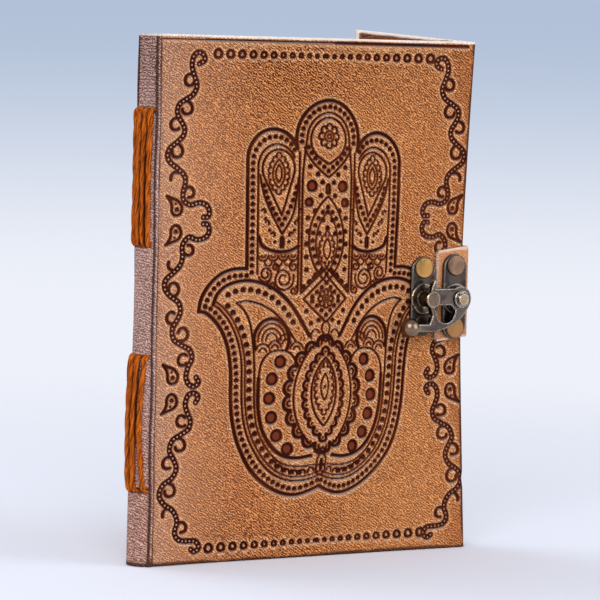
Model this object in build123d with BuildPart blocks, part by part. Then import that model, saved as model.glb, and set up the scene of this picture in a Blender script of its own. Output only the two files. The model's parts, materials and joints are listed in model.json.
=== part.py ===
"""A leather diary with a swing-hook lock, long-stitched through a rounded spine."""

import os
from math import asin, cos, degrees, radians, sin, sqrt, tan

from build123d import *

# Cover leather: the front cover looks towards -Y, the spine is at -X, the diary stands on its tail edge
COVER_H = 178.0
COVER_W = 127.0
LEATHER_T = 1.5
FORE_EDGE_R = 1.0

# Flaps folded inwards from the fore edges; the front one is a little askew, so its free corner rises
TURN_IN_T = 0.9
TURN_IN_W = 48.0
TURN_IN_RISE = 3.2

# Rounded spine and the pressed creases that the covers hinge on
SPINE_RISE = 2.3
CREASE_R = 0.75
CREASE_GAP = 0.3
CREASE_NECK_T = 0.8
CREASE_TAPER = 0.65

# Paper: folded signatures, the first of which turn with the front cover
SIGNATURES = 4
TURNING_SIGNATURES = 2
SIGNATURE_T = 1.85
SIGNATURE_GAP = 0.13
BLOCK_GAP = 0.2
FOLD_GAP = 0.2
LEAF_HEAD = 3.0
LEAF_FORE = 5.0
GUTTER_FIRST = 6.0
GUTTER_STEP = 5.0
GUTTER_GAP = 0.1

# Sewing cords: out of the spine, along it and in again, twice
CORD_D = 1.7
CORD_BEND_R = 1.9
CORD_SEAT = 0.15
CORD_DEPTH = 1.9
CORD_TAIL = 8.0
CORD_CLEARANCE = 0.25
SLIT_CLEARANCE = 0.45
STATION_OUTER = 63.5
STATION_INNER = 18.7
BOW_UPPER = 1.0
BOW_LOWER = 2.2
BOW_SHARE = 0.45

# Lock tab: a strap bent round the fore edge
TAB_H = 32.0
TAB_T = 1.7
TAB_Z = 89.5
TAB_REACH = 12.0
TAB_ANCHOR_L = 24.0
TAB_CLEARANCE = 0.3
TAB_FORE_GAP = 0.6

# Lock plates, posts and hook, centred on one height
LOCK_Z = 88.0
POST_INSET = 17.7
PIVOT_INSET = 5.3
PLATE_W = 10.0
PLATE_T = 1.3
PLATE_END = 4.0
PLATE_EDGE_R = 0.4
CATCH_RIVET_RISE = 10.7
CATCH_RIVET_DROP = 9.2
TAB_RIVET_RISE = 11.6
TAB_RIVET_DROP = 10.4
COLLAR_D = 10.7
CATCH_COLLAR_T = 0.8
PIVOT_COLLAR_T = 0.6
SPACER_D = 7.5
SPACER_T = 0.6
POST_D = 5.8
POST_HEAD_T = 0.9
SLOT_FLOOR = 1.05
SPIGOT_D = 3.0
PIVOT_D = 4.0
PIVOT_HEAD_D = 6.2
PIVOT_HEAD_T = 0.8
PIVOT_END_D = 4.2
PIVOT_END_T = 1.0
RIM_R = 0.25
PIN_CLEARANCE = 0.05
HOOK_T = 2.2
HOOK_PLAY = 0.1
HOOK_EDGE_R = 0.4
HOOK_HUB_D = 9.2
HOOK_BLADE_GAP = 0.35
HOOK_BLADE_W = 1.7
HOOK_BLADE_TOP = 31.0
HOOK_BLADE_FOOT = 25.0
HOOK_BRIDGE_TOP = 3.8
HOOK_BRIDGE_FOOT = 2.2
HOOK_EYE_DROP = 8.2
HOOK_ARM_W = 2.9
HOOK_ARM_DROP = 8.6
HOOK_ARM_ROOT = 25.0
HOOK_TAIL_W = 2.8
HOOK_BALL_D = 7.0
HOOK_BALL_REACH = 21.0
HOOK_BALL_DROP = 9.8

# Rivets with flat-domed heads, washers and clinched tails
RIVET_HEAD_D = 7.4
RIVET_HEAD_T = 0.7
RIVET_DOME_R = 0.5
RIVET_SHANK_D = 2.4
RIVET_FLARE_D = 3.4
RIVET_FLARE_T = 0.3
WASHER_D = 5.4
WASHER_T = 0.4
WASHER_SINK = 0.8
WASHER_CLEARANCE = 0.15
ANCHOR_RIVET_INSET = 12.0

os.makedirs("parts", exist_ok=True)

# Depths through the diary, measured from its middle plane
pitch = SIGNATURE_T + SIGNATURE_GAP
block_t = SIGNATURES * pitch - SIGNATURE_GAP
inner_y = block_t / 2 + BLOCK_GAP + TURN_IN_T
outer_y = inner_y + LEATHER_T
crease_y = inner_y + LEATHER_T / 2
half_t = LEATHER_T / 2

# The origin is the foot of the spine, in the middle of its leather
spine_r = (crease_y**2 + SPINE_RISE**2) / (2 * SPINE_RISE)
crease_x = SPINE_RISE
fore_x = crease_x + COVER_W
crease_angle = degrees(asin(crease_y / spine_r))
taper_start = CREASE_R + CREASE_GAP
taper_end = taper_start + CREASE_TAPER
spine_angle = crease_angle - 2 * degrees(asin(taper_end / (2 * spine_r)))

# Depths of the lock in front of the middle plane
plate_face = outer_y + PLATE_T
collar_face = plate_face + CATCH_COLLAR_T
tab_back = outer_y + TAB_CLEARANCE
tab_face = tab_back + TAB_T
tab_plate_face = tab_face + PLATE_T
pivot_collar_face = tab_plate_face + PIVOT_COLLAR_T
spacer_face = pivot_collar_face + SPACER_T
hook_back = spacer_face + HOOK_PLAY
hook_face = hook_back + HOOK_T
anchor_face = outer_y + TAB_T

post_x = fore_x - POST_INSET
pivot_x = fore_x - PIVOT_INSET
post_r = POST_INSET - PIVOT_INSET
fold_x = fore_x + TAB_FORE_GAP + TAB_T / 2
fold_clear = TAB_T / 2 + TAB_CLEARANCE
anchor_rivet_x = fore_x - ANCHOR_RIVET_INSET
tab_foot = TAB_Z - TAB_H / 2
rivet_hole_r = RIVET_SHANK_D / 2 + PIN_CLEARANCE
washer_hole_r = WASHER_D / 2 + WASHER_CLEARANCE

catch_rivet_places = [(post_x, LOCK_Z + rise) for rise in (-CATCH_RIVET_DROP, CATCH_RIVET_RISE)]
tab_rivet_places = [(pivot_x, LOCK_Z + rise) for rise in (-TAB_RIVET_DROP, TAB_RIVET_RISE)]
anchor_rivet_places = [(-anchor_rivet_x, LOCK_Z + rise) for rise in (-TAB_RIVET_DROP, TAB_RIVET_RISE)]


def front(depth):
    """A plane that faces the reader, this far in front of the middle plane, with Z up."""
    return Plane.XZ.offset(depth)


def back(depth):
    """A plane that faces away from the reader, this far behind the middle plane; its own x runs to -X."""
    return Plane(origin=(0, depth, 0), x_dir=(-1, 0, 0), z_dir=(0, 1, 0))


def on_spine(radius, angle):
    """A point of the spine's arc, by its radius and its angle from the middle of the spine."""
    return (spine_r - radius * cos(radians(angle)), radius * sin(radians(angle)))


def spine_x(radius, y):
    """Where a surface of the spine, given by its radius, lies at this y."""
    return spine_r - sqrt(radius**2 - y**2)


def around_pivot(radius, angle):
    """A point on the hook's plane, by its radius and its angle below the line from pivot to post."""
    return (pivot_x - radius * cos(radians(angle)), LOCK_Z - radius * sin(radians(angle)))


def from_pivot(left, down):
    """A point on the hook's plane, by its distances to the left of the pivot and below it."""
    return (pivot_x - left, LOCK_Z - down)


# Sewing stations from head to tail
mid_z = COVER_H / 2
stations = [mid_z + STATION_OUTER, mid_z + STATION_INNER, mid_z - STATION_INNER, mid_z - STATION_OUTER]
fronts = [n * pitch - block_t / 2 for n in range(SIGNATURES)]
cord_ys = [y + SIGNATURE_T / 2 for y in fronts]

# Spine: an arc of leather that thins at each end into the crease bead
with BuildPart() as spine:
    with BuildSketch(Plane.XY):
        with BuildLine():
            outer = ThreePointArc(
                on_spine(spine_r + half_t, -spine_angle),
                on_spine(spine_r + half_t, 0),
                on_spine(spine_r + half_t, spine_angle),
            )
            inner = ThreePointArc(
                on_spine(spine_r - half_t, -spine_angle),
                on_spine(spine_r - half_t, 0),
                on_spine(spine_r - half_t, spine_angle),
            )
            Polyline(
                outer @ 1,
                on_spine(spine_r + CREASE_NECK_T / 2, crease_angle),
                on_spine(spine_r - CREASE_NECK_T / 2, crease_angle),
                inner @ 1,
            )
            Polyline(
                outer @ 0,
                on_spine(spine_r + CREASE_NECK_T / 2, -crease_angle),
                on_spine(spine_r - CREASE_NECK_T / 2, -crease_angle),
                inner @ 0,
            )
        make_face()
        with Locations((crease_x, -crease_y), (crease_x, crease_y)):
            Circle(CREASE_R)
    extrude(amount=COVER_H)
    with BuildSketch(Plane.YZ.offset(-spine_r)):
        with Locations(*[(0, z) for z in stations]):
            SlotCenterToCenter(cord_ys[-1] - cord_ys[0], CORD_D + 2 * SLIT_CLEARANCE)
    extrude(amount=2 * spine_r, mode=Mode.SUBTRACT)
spine.part.label = "spine"
export_step(spine.part, "parts/spine.step")


def cover_outline(side):
    """The plan of a cover, thinned at the crease; side is -1 for the front and 1 for the back."""
    return [
        (crease_x + taper_start, side * (crease_y + CREASE_NECK_T / 2)),
        (crease_x + taper_end, side * outer_y),
        (fore_x, side * outer_y),
        (fore_x, side * inner_y),
        (crease_x + taper_end, side * inner_y),
        (crease_x + taper_start, side * (crease_y - CREASE_NECK_T / 2)),
    ]


# Front cover
with BuildPart() as front_cover:
    with BuildSketch(Plane.XY):
        with BuildLine():
            Polyline(*cover_outline(-1), close=True)
        make_face()
    extrude(amount=COVER_H)
    fore_corner = front_cover.edges().filter_by(Axis.Z).group_by(Axis.X)[-1].sort_by(Axis.Y)[0]
    fillet(fore_corner, FORE_EDGE_R)
    with BuildSketch(front(outer_y)):
        with Locations(*catch_rivet_places):
            Circle(rivet_hole_r)
    extrude(amount=-LEATHER_T, mode=Mode.SUBTRACT)
front_cover.part.label = "front_cover"
export_step(front_cover.part, "parts/front_cover.step")

# Back cover
with BuildPart() as back_cover:
    with BuildSketch(Plane.XY):
        with BuildLine():
            Polyline(*cover_outline(1), close=True)
        make_face()
    extrude(amount=COVER_H)
    fore_corner = back_cover.edges().filter_by(Axis.Z).group_by(Axis.X)[-1].sort_by(Axis.Y)[-1]
    fillet(fore_corner, FORE_EDGE_R)
    with BuildSketch(back(outer_y)):
        with Locations(*anchor_rivet_places):
            Circle(rivet_hole_r)
    extrude(amount=-LEATHER_T, mode=Mode.SUBTRACT)
back_cover.part.label = "back_cover"
export_step(back_cover.part, "parts/back_cover.step")

# Turn-ins: flaps against the inside of each cover, open where the rivets' tails come through
turn_in_free = fore_x - TURN_IN_W
with BuildPart() as front_turn_in:
    with BuildSketch(front(inner_y)):
        with BuildLine():
            Polyline(
                (fore_x, 0),
                (fore_x, COVER_H),
                (turn_in_free, COVER_H + TURN_IN_RISE),
                (turn_in_free, TURN_IN_RISE),
                close=True,
            )
        make_face()
        with Locations(*catch_rivet_places):
            Circle(washer_hole_r, mode=Mode.SUBTRACT)
    extrude(amount=-TURN_IN_T)
front_turn_in.part.label = "front_turn_in"
export_step(front_turn_in.part, "parts/front_turn_in.step")

with BuildPart() as back_turn_in:
    with BuildSketch(back(inner_y)):
        with BuildLine():
            Polyline(
                (-fore_x, 0),
                (-fore_x, COVER_H),
                (-turn_in_free, COVER_H),
                (-turn_in_free, 0),
                close=True,
            )
        make_face()
        with Locations(*anchor_rivet_places):
            Circle(washer_hole_r, mode=Mode.SUBTRACT)
    extrude(amount=-TURN_IN_T)
back_turn_in.part.label = "back_turn_in"
export_step(back_turn_in.part, "parts/back_turn_in.step")


def fold_edge(n):
    """Where the fold of a signature lies, just inside the spine."""
    reach = max(abs(fronts[n]), abs(fronts[n] + SIGNATURE_T))
    return spine_x(spine_r - half_t, reach) + FOLD_GAP


leaf_x = fore_x - LEAF_FORE
leaf_h = COVER_H - 2 * LEAF_HEAD
cord_r = CORD_D / 2
slit_r = cord_r + CORD_CLEARANCE
slits = [
    (stations[0] - slit_r, stations[0] + CORD_TAIL + slit_r),
    (stations[2] - slit_r, stations[1] + slit_r),
    (stations[3] - CORD_TAIL - slit_r, stations[3] + slit_r),
]

# Signatures: folded sheets, parted at the fold where their cord runs inside
for n in range(SIGNATURES):
    turns = n < TURNING_SIGNATURES
    gutter_x = crease_x + GUTTER_FIRST + n * GUTTER_STEP
    fold_end = gutter_x - GUTTER_GAP if turns else leaf_x
    slit_x = fold_edge(n) + CORD_DEPTH + slit_r
    with BuildPart() as signature:
        with BuildSketch(front(-fronts[n])):
            with Locations((fold_edge(n), LEAF_HEAD)):
                Rectangle(fold_end - fold_edge(n), leaf_h, align=Align.MIN)
            for low, high in slits:
                with Locations((0, low)):
                    Rectangle(slit_x, high - low, align=Align.MIN, mode=Mode.SUBTRACT)
        extrude(amount=-SIGNATURE_T)
    node = f"signature_{n + 1}_fold" if turns else f"signature_{n + 1}"
    signature.part.label = node
    export_step(signature.part, f"parts/{node}.step")
    if turns:
        with BuildPart() as leaves:
            with BuildSketch(front(-fronts[n])):
                with Locations((gutter_x, LEAF_HEAD)):
                    Rectangle(leaf_x - gutter_x, leaf_h, align=Align.MIN)
            extrude(amount=-SIGNATURE_T)
        leaves.part.label = f"signature_{n + 1}_leaves"
        export_step(leaves.part, f"parts/signature_{n + 1}_leaves.step")


def bow_radius(half_run, bow):
    """The largest bend that fits a run which bows out in its middle."""
    half_turn = asin(bow / sqrt(half_run**2 + bow**2))
    return BOW_SHARE * half_run / tan(half_turn)


# Sewing cords: one to a signature, from a tail in the fold, out, in, out and in to the other tail
half_run = (STATION_OUTER - STATION_INNER) / 2
cord_radii = [CORD_BEND_R, CORD_BEND_R, bow_radius(half_run, BOW_UPPER), CORD_BEND_R, CORD_BEND_R]
cord_radii += [CORD_BEND_R, CORD_BEND_R, bow_radius(half_run, BOW_LOWER), CORD_BEND_R, CORD_BEND_R]
print("cord bend radii", [round(radius, 1) for radius in cord_radii])
for n in range(SIGNATURES):
    out_x = spine_x(spine_r + half_t, cord_ys[n]) - cord_r - CORD_SEAT
    in_x = fold_edge(n) + CORD_DEPTH
    with BuildPart() as cord:
        with BuildLine(front(-cord_ys[n])):
            route = FilletPolyline(
                (in_x, stations[0] + CORD_TAIL),
                (in_x, stations[0]),
                (out_x, stations[0]),
                (out_x - BOW_UPPER, stations[0] - half_run),
                (out_x, stations[1]),
                (in_x, stations[1]),
                (in_x, stations[2]),
                (out_x, stations[2]),
                (out_x - BOW_LOWER, stations[2] - half_run),
                (out_x, stations[3]),
                (in_x, stations[3]),
                (in_x, stations[3] - CORD_TAIL),
                radius=cord_radii,
            )
        with BuildSketch(Plane(origin=route @ 0, z_dir=route % 0)):
            Circle(cord_r)
        sweep()
    print("cord", n + 1, "length", round(route.length, 1))
    cord.part.label = f"sewing_cord_{n + 1}"
    export_step(cord.part, f"parts/sewing_cord_{n + 1}.step")

# Lock tab: anchor on the back cover, side panel between two folds, front panel
with BuildPart() as tab_anchor:
    with BuildSketch(back(outer_y)):
        with Locations((fold_clear - fold_x, tab_foot)):
            Rectangle(TAB_ANCHOR_L, TAB_H, align=Align.MIN)
        with Locations(*anchor_rivet_places):
            Circle(rivet_hole_r, mode=Mode.SUBTRACT)
    extrude(amount=TAB_T)
tab_anchor.part.label = "tab_anchor"
export_step(tab_anchor.part, "parts/tab_anchor.step")

back_fold_y = outer_y + TAB_T / 2
front_fold_y = -tab_back - TAB_T / 2
with BuildPart() as tab_side:
    with BuildSketch(Plane.XY.offset(tab_foot)):
        with Locations((fold_x, (back_fold_y + front_fold_y) / 2)):
            SlotCenterToCenter(back_fold_y - front_fold_y, TAB_T, rotation=90)
    extrude(amount=TAB_H)
tab_side.part.label = "tab_side"
export_step(tab_side.part, "parts/tab_side.step")

tab_free = fore_x - TAB_REACH
with BuildPart() as tab_front:
    with BuildSketch(front(tab_back)):
        with Locations((tab_free, tab_foot)):
            Rectangle(fold_x - fold_clear - tab_free, TAB_H, align=Align.MIN)
        with Locations(*tab_rivet_places):
            Circle(rivet_hole_r, mode=Mode.SUBTRACT)
    extrude(amount=TAB_T)
    with BuildSketch(front(tab_back)):
        with Locations(*tab_rivet_places):
            Circle(washer_hole_r)
    extrude(amount=WASHER_SINK, mode=Mode.SUBTRACT)
tab_front.part.label = "tab_front"
export_step(tab_front.part, "parts/tab_front.step")


def lock_plate(depth, middle_x, rivet_places):
    """A round-ended plate with a spigot hole at the lock's height and a rivet hole near each end."""
    plate_foot = rivet_places[0][1] - PLATE_END
    plate_head = rivet_places[1][1] + PLATE_END
    with BuildPart() as plate:
        with BuildSketch(front(depth)):
            with Locations((middle_x, (plate_foot + plate_head) / 2)):
                SlotOverall(plate_head - plate_foot, PLATE_W, rotation=90)
        extrude(amount=PLATE_T)
        fillet(plate.faces().sort_by(Axis.Y)[0].edges(), PLATE_EDGE_R)
        with BuildSketch(front(depth)):
            with Locations(*rivet_places):
                Circle(rivet_hole_r)
            with Locations((middle_x, LOCK_Z)):
                Circle(SPIGOT_D / 2 + PIN_CLEARANCE)
        extrude(amount=PLATE_T, mode=Mode.SUBTRACT)
    return plate


def rivets(face, places, grip):
    """Rivets with their heads on a face and their clinched tails past the grip."""
    with BuildPart() as group:
        with BuildSketch(face):
            with Locations(*places):
                Circle(RIVET_HEAD_D / 2)
        extrude(amount=RIVET_HEAD_T)
        rims = group.faces().filter_by(Axis.Y).group_by(Axis.Y)
        head_tops = rims[0] if face.z_dir.Y < 0 else rims[-1]
        fillet(head_tops.edges(), RIVET_DOME_R)
        with BuildSketch(face):
            with Locations(*places):
                Circle(RIVET_SHANK_D / 2)
        extrude(amount=-grip - WASHER_T)
        with BuildSketch(face.offset(-grip - WASHER_T)):
            with Locations(*places):
                Circle(RIVET_FLARE_D / 2)
        extrude(amount=-RIVET_FLARE_T)
    return group


def washers(face, places, grip):
    """Washers under the tails of such rivets."""
    with BuildPart() as group:
        with BuildSketch(face.offset(-grip)):
            with Locations(*places):
                Circle(WASHER_D / 2)
                Circle(rivet_hole_r, mode=Mode.SUBTRACT)
        extrude(amount=-WASHER_T)
    return group


# Riveted joints: face that the heads bear on, places, and grip from head to washer
riveted_joints = {
    "catch": (front(plate_face), catch_rivet_places, PLATE_T + LEATHER_T),
    "tab": (front(tab_plate_face), tab_rivet_places, PLATE_T + TAB_T - WASHER_SINK),
    "anchor": (back(anchor_face), anchor_rivet_places, TAB_T + LEATHER_T),
}
for joint, (face, places, grip) in riveted_joints.items():
    rivet_group = rivets(face, places, grip)
    rivet_group.part.label = f"{joint}_rivets"
    export_step(rivet_group.part, f"parts/{joint}_rivets.step")
    washer_group = washers(face, places, grip)
    washer_group.part.label = f"{joint}_rivet_washers"
    export_step(washer_group.part, f"parts/{joint}_rivet_washers.step")

# Plates of the lock
catch_plate = lock_plate(outer_y, post_x, catch_rivet_places)
catch_plate.part.label = "catch_plate"
export_step(catch_plate.part, "parts/catch_plate.step")

tab_plate = lock_plate(tab_face, pivot_x, tab_rivet_places)
tab_plate.part.label = "tab_plate"
export_step(tab_plate.part, "parts/tab_plate.step")

# Catch post: spigot in the plate, collar and a barrel with a slot that the hook's blade swings into
slot_back = hook_back - HOOK_PLAY
slot_face = hook_face + HOOK_PLAY
post_face = slot_face + POST_HEAD_T
with BuildPart() as catch_post:
    with BuildSketch(Plane.XY):
        with BuildLine():
            Polyline(
                (0, outer_y),
                (SPIGOT_D / 2, outer_y),
                (SPIGOT_D / 2, plate_face),
                (COLLAR_D / 2, plate_face),
                (COLLAR_D / 2, collar_face - RIM_R),
                (COLLAR_D / 2 - RIM_R, collar_face),
                (POST_D / 2, collar_face),
                (POST_D / 2, post_face - RIM_R),
                (POST_D / 2 - RIM_R, post_face),
                (0, post_face),
                close=True,
            )
        make_face()
    revolve(axis=Axis.Y)
    with Locations((-SLOT_FLOOR, (slot_back + slot_face) / 2, 0)):
        slot_side = (Align.MIN, Align.CENTER, Align.CENTER)
        Box(POST_D, slot_face - slot_back, POST_D + HOOK_T, align=slot_side, mode=Mode.SUBTRACT)
catch_post.part = Pos(post_x, 0, LOCK_Z) * Rot(180, 0, 0) * catch_post.part
catch_post.part.label = "catch_post"
export_step(catch_post.part, "parts/catch_post.step")


def ring(depth, outside_d, bore_d, height):
    """A flat ring round the pivot."""
    with BuildPart() as turned:
        with BuildSketch(front(depth)):
            with Locations((pivot_x, LOCK_Z)):
                Circle(outside_d / 2)
        extrude(amount=height)
        chamfer(turned.faces().sort_by(Axis.Y)[0].edges(), RIM_R)
        with BuildSketch(front(depth)):
            with Locations((pivot_x, LOCK_Z)):
                Circle(bore_d / 2)
        extrude(amount=height, mode=Mode.SUBTRACT)
    return turned


# Collar and spacer that hold the hook clear of the tab plate
pivot_bore = PIVOT_D + 2 * PIN_CLEARANCE
pivot_collar = ring(tab_plate_face, COLLAR_D, pivot_bore, PIVOT_COLLAR_T)
pivot_collar.part.label = "pivot_collar"
export_step(pivot_collar.part, "parts/pivot_collar.step")

pivot_spacer = ring(pivot_collar_face, SPACER_D, pivot_bore, SPACER_T)
pivot_spacer.part.label = "pivot_spacer"
export_step(pivot_spacer.part, "parts/pivot_spacer.step")

# Pivot pin: spigot in the tab plate, shank through collar, spacer and hook, and a stepped head
head_back = hook_face + HOOK_PLAY
with BuildPart() as pivot_pin:
    with BuildSketch(front(tab_face)):
        with Locations((pivot_x, LOCK_Z)):
            Circle(SPIGOT_D / 2)
    extrude(amount=PLATE_T)
    with BuildSketch(front(tab_plate_face)):
        with Locations((pivot_x, LOCK_Z)):
            Circle(PIVOT_D / 2)
    extrude(amount=head_back - tab_plate_face)
    with BuildSketch(front(head_back)):
        with Locations((pivot_x, LOCK_Z)):
            Circle(PIVOT_HEAD_D / 2)
    extrude(amount=PIVOT_HEAD_T)
    chamfer(pivot_pin.faces().sort_by(Axis.Y)[0].edges(), RIM_R)
    with BuildSketch(front(head_back + PIVOT_HEAD_T)):
        with Locations((pivot_x, LOCK_Z)):
            Circle(PIVOT_END_D / 2)
    extrude(amount=PIVOT_END_T)
    chamfer(pivot_pin.faces().sort_by(Axis.Y)[0].edges(), RIM_R)
pivot_pin.part.label = "pivot_pin"
export_step(pivot_pin.part, "parts/pivot_pin.step")

# Swing hook: hub, bridge to the blade that swings into the post's slot, arm, tail and ball
blade_out = post_r + SLOT_FLOOR - HOOK_BLADE_GAP
blade_in = blade_out - HOOK_BLADE_W
bridge_end = blade_out - HOOK_BLADE_W / 2
hub_r = HOOK_HUB_D / 2
arm_bottom = HOOK_ARM_DROP + HOOK_ARM_W
tail_top = HOOK_BALL_DROP - HOOK_TAIL_W / 2
tail_bottom = HOOK_BALL_DROP + HOOK_TAIL_W / 2
blade_mid = (HOOK_BLADE_FOOT - HOOK_BLADE_TOP) / 2
arm_left = blade_in * cos(radians(HOOK_BLADE_FOOT))
with BuildPart() as swing_hook:
    with BuildSketch(front(hook_back)):
        with BuildLine():
            bridge_arc = ThreePointArc(
                around_pivot(bridge_end, -degrees(asin(HOOK_BRIDGE_TOP / bridge_end))),
                around_pivot(bridge_end, 0),
                around_pivot(bridge_end, degrees(asin(HOOK_BRIDGE_FOOT / bridge_end))),
            )
            bridge_root = (from_pivot(0, -HOOK_BRIDGE_TOP), from_pivot(0, HOOK_BRIDGE_FOOT))
            Polyline(bridge_arc @ 0, *bridge_root, bridge_arc @ 1)
        make_face()
        with BuildLine():
            outside = ThreePointArc(
                around_pivot(blade_out, -HOOK_BLADE_TOP),
                around_pivot(blade_out, blade_mid),
                around_pivot(blade_out, HOOK_BLADE_FOOT),
            )
            inside = ThreePointArc(
                around_pivot(blade_in, -HOOK_BLADE_TOP),
                around_pivot(blade_in, blade_mid),
                around_pivot(blade_in, HOOK_BLADE_FOOT),
            )
            Line(outside @ 0, inside @ 0)
            Line(outside @ 1, inside @ 1)
        make_face()
        with BuildLine():
            under = ThreePointArc(
                around_pivot(hub_r, 180 - HOOK_ARM_ROOT),
                from_pivot(-hub_r / 4, hub_r + HOOK_ARM_W / 2),
                from_pivot(arm_left / 2, arm_bottom - HOOK_ARM_W / 2),
            )
            Line(under @ 1, from_pivot(arm_left, arm_bottom))
            Line(from_pivot(arm_left, arm_bottom), from_pivot(HOOK_BALL_REACH, tail_bottom))
            Line(from_pivot(HOOK_BALL_REACH, tail_bottom), from_pivot(HOOK_BALL_REACH, tail_top))
            Line(from_pivot(HOOK_BALL_REACH, tail_top), from_pivot(blade_out, HOOK_ARM_DROP))
            Line(from_pivot(blade_out, HOOK_ARM_DROP), around_pivot(blade_out, HOOK_BLADE_FOOT))
            Line(around_pivot(blade_out, HOOK_BLADE_FOOT), around_pivot(blade_in, HOOK_BLADE_FOOT))
            over = ThreePointArc(
                around_pivot(blade_in, HOOK_BLADE_FOOT),
                from_pivot(arm_left / 2 + HOOK_BLADE_GAP, HOOK_EYE_DROP),
                from_pivot(hub_r / 2, hub_r),
            )
            Line(over @ 1, from_pivot(0, 0))
            Line(from_pivot(0, 0), under @ 0)
        make_face()
        with Locations(from_pivot(0, 0)):
            Circle(hub_r)
    extrude(amount=HOOK_T)
    fillet(swing_hook.faces().sort_by(Axis.Y)[0].edges(), HOOK_EDGE_R)
    with Locations((pivot_x - HOOK_BALL_REACH, -hook_back - HOOK_T / 2, LOCK_Z - HOOK_BALL_DROP)):
        Sphere(HOOK_BALL_D / 2, rotation=(0, 0, 180))
    with BuildSketch(front(hook_back)):
        with Locations(from_pivot(0, 0)):
            Circle(pivot_bore / 2)
    extrude(amount=HOOK_T, mode=Mode.SUBTRACT)
swing_hook.part.label = "swing_hook"
export_step(swing_hook.part, "parts/swing_hook.step")
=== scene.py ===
# %% [markdown]
# # A leather diary with a swing-hook lock
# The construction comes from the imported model, so every piece that is made here starts from its boxes and
# joints. Leather, paper and cord are soft, so they are modelled anew. The lock is metal, so its solids
# stay and get a finish. Blender counts in metres and a diary is measured in millimetres, so two helpers
# convert.

# %% The frame
import json
from math import atan2, ceil, cos, pi, radians, sin, tau

import bmesh
import bpy
import numpy as np
from mathutils import Matrix, Vector
from mathutils.kdtree import KDTree


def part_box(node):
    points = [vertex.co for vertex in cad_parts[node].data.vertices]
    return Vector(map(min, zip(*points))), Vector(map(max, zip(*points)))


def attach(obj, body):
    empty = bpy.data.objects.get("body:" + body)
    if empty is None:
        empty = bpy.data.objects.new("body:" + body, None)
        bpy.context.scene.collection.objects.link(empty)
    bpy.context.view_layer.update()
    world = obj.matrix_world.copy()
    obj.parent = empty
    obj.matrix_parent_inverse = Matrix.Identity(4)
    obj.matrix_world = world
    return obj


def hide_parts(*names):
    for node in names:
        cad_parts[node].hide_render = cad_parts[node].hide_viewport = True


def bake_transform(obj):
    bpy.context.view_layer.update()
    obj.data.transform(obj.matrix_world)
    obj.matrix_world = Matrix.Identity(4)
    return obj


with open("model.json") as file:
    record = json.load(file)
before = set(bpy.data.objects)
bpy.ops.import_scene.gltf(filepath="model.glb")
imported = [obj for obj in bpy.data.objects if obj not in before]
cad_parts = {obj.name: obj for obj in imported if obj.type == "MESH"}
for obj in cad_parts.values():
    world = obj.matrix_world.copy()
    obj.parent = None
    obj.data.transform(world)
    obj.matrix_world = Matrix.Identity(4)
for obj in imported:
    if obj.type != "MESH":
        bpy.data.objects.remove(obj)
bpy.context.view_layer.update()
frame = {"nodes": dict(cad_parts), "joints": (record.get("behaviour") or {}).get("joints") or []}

joints = {joint["name"]: joint for joint in frame["joints"]}
MM = 0.001


def node_box(node):
    """The lowest and highest corner of a CAD node, in millimetres."""
    low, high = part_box(node)
    return low / MM, high / MM


def joint_place(name):
    """A point on a joint's axis, in millimetres."""
    return Vector(joints[name]["pos_m"]) / MM


# %% [markdown]
# ## The sizes that the pieces share
# The cover is one sheet of leather from fore edge to fore edge. Reading its planes from the frame, and
# not typing them again, keeps each new piece exactly where its solid is.

# %% Shared sizes
cover_low, cover_high = node_box("front_cover")
hinge = joint_place("front_cover_hinge")
CREASE_X, CREASE_Y = hinge.x, -hinge.y
OUTER_Y, INNER_Y = -cover_low.y, -cover_high.y
FORE_X, COVER_H = cover_high.x, cover_high.z
COVER_W = FORE_X - CREASE_X
LEATHER_T = OUTER_Y - INNER_Y
MID_Z = COVER_H / 2
SPINE_R = (CREASE_Y**2 + CREASE_X**2) / (2 * CREASE_X)
print("cover", round(COVER_W, 1), "x", round(COVER_H, 1), "mm, leather", round(LEATHER_T, 2), "mm")

# %% [markdown]
# ## Camera
# The diary stands turned by a good third of a right angle, seen by a long lens from a little above its
# middle. A long lens keeps the upright edges almost parallel, which is why the camera is far away and its
# angle of view narrow.

# %% Camera
TURN, RISE, ROLL = radians(-34.19), radians(3.745), radians(1.228)
CAMERA_TARGET = Vector((60.4, -6.5, 88.4)) * MM
CAMERA_DISTANCE = 1.2051
LENS, SENSOR = 211.3, 36.0
CLIP_NEAR, CLIP_FAR = 0.05, 50

back = Vector((sin(TURN) * cos(RISE), -cos(TURN) * cos(RISE), sin(RISE)))
level = Vector((cos(TURN), sin(TURN), 0))
upright = back.cross(level)
right = level * cos(ROLL) + upright * sin(ROLL)
up = back.cross(right)
camera = bpy.data.objects.new("camera", bpy.data.cameras.new("camera"))
camera.data.lens, camera.data.sensor_width = LENS, SENSOR
camera.data.clip_start, camera.data.clip_end = CLIP_NEAR, CLIP_FAR
turned = Matrix((right, up, back)).transposed().to_4x4()
camera.matrix_world = Matrix.Translation(CAMERA_TARGET + back * CAMERA_DISTANCE) @ turned
bpy.context.scene.collection.objects.link(camera)
bpy.context.scene.camera = camera
bpy.context.scene.view_settings.view_transform = "Standard"
print("camera at", [round(x, 3) for x in camera.location])

# %% [markdown]
# ## Shader sums as Python
# A finish is a handful of noises that are added, scaled and mixed. Wrapping a socket in a small class
# lets the sums be written as sums, and one method adds every other kind of node.


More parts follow.
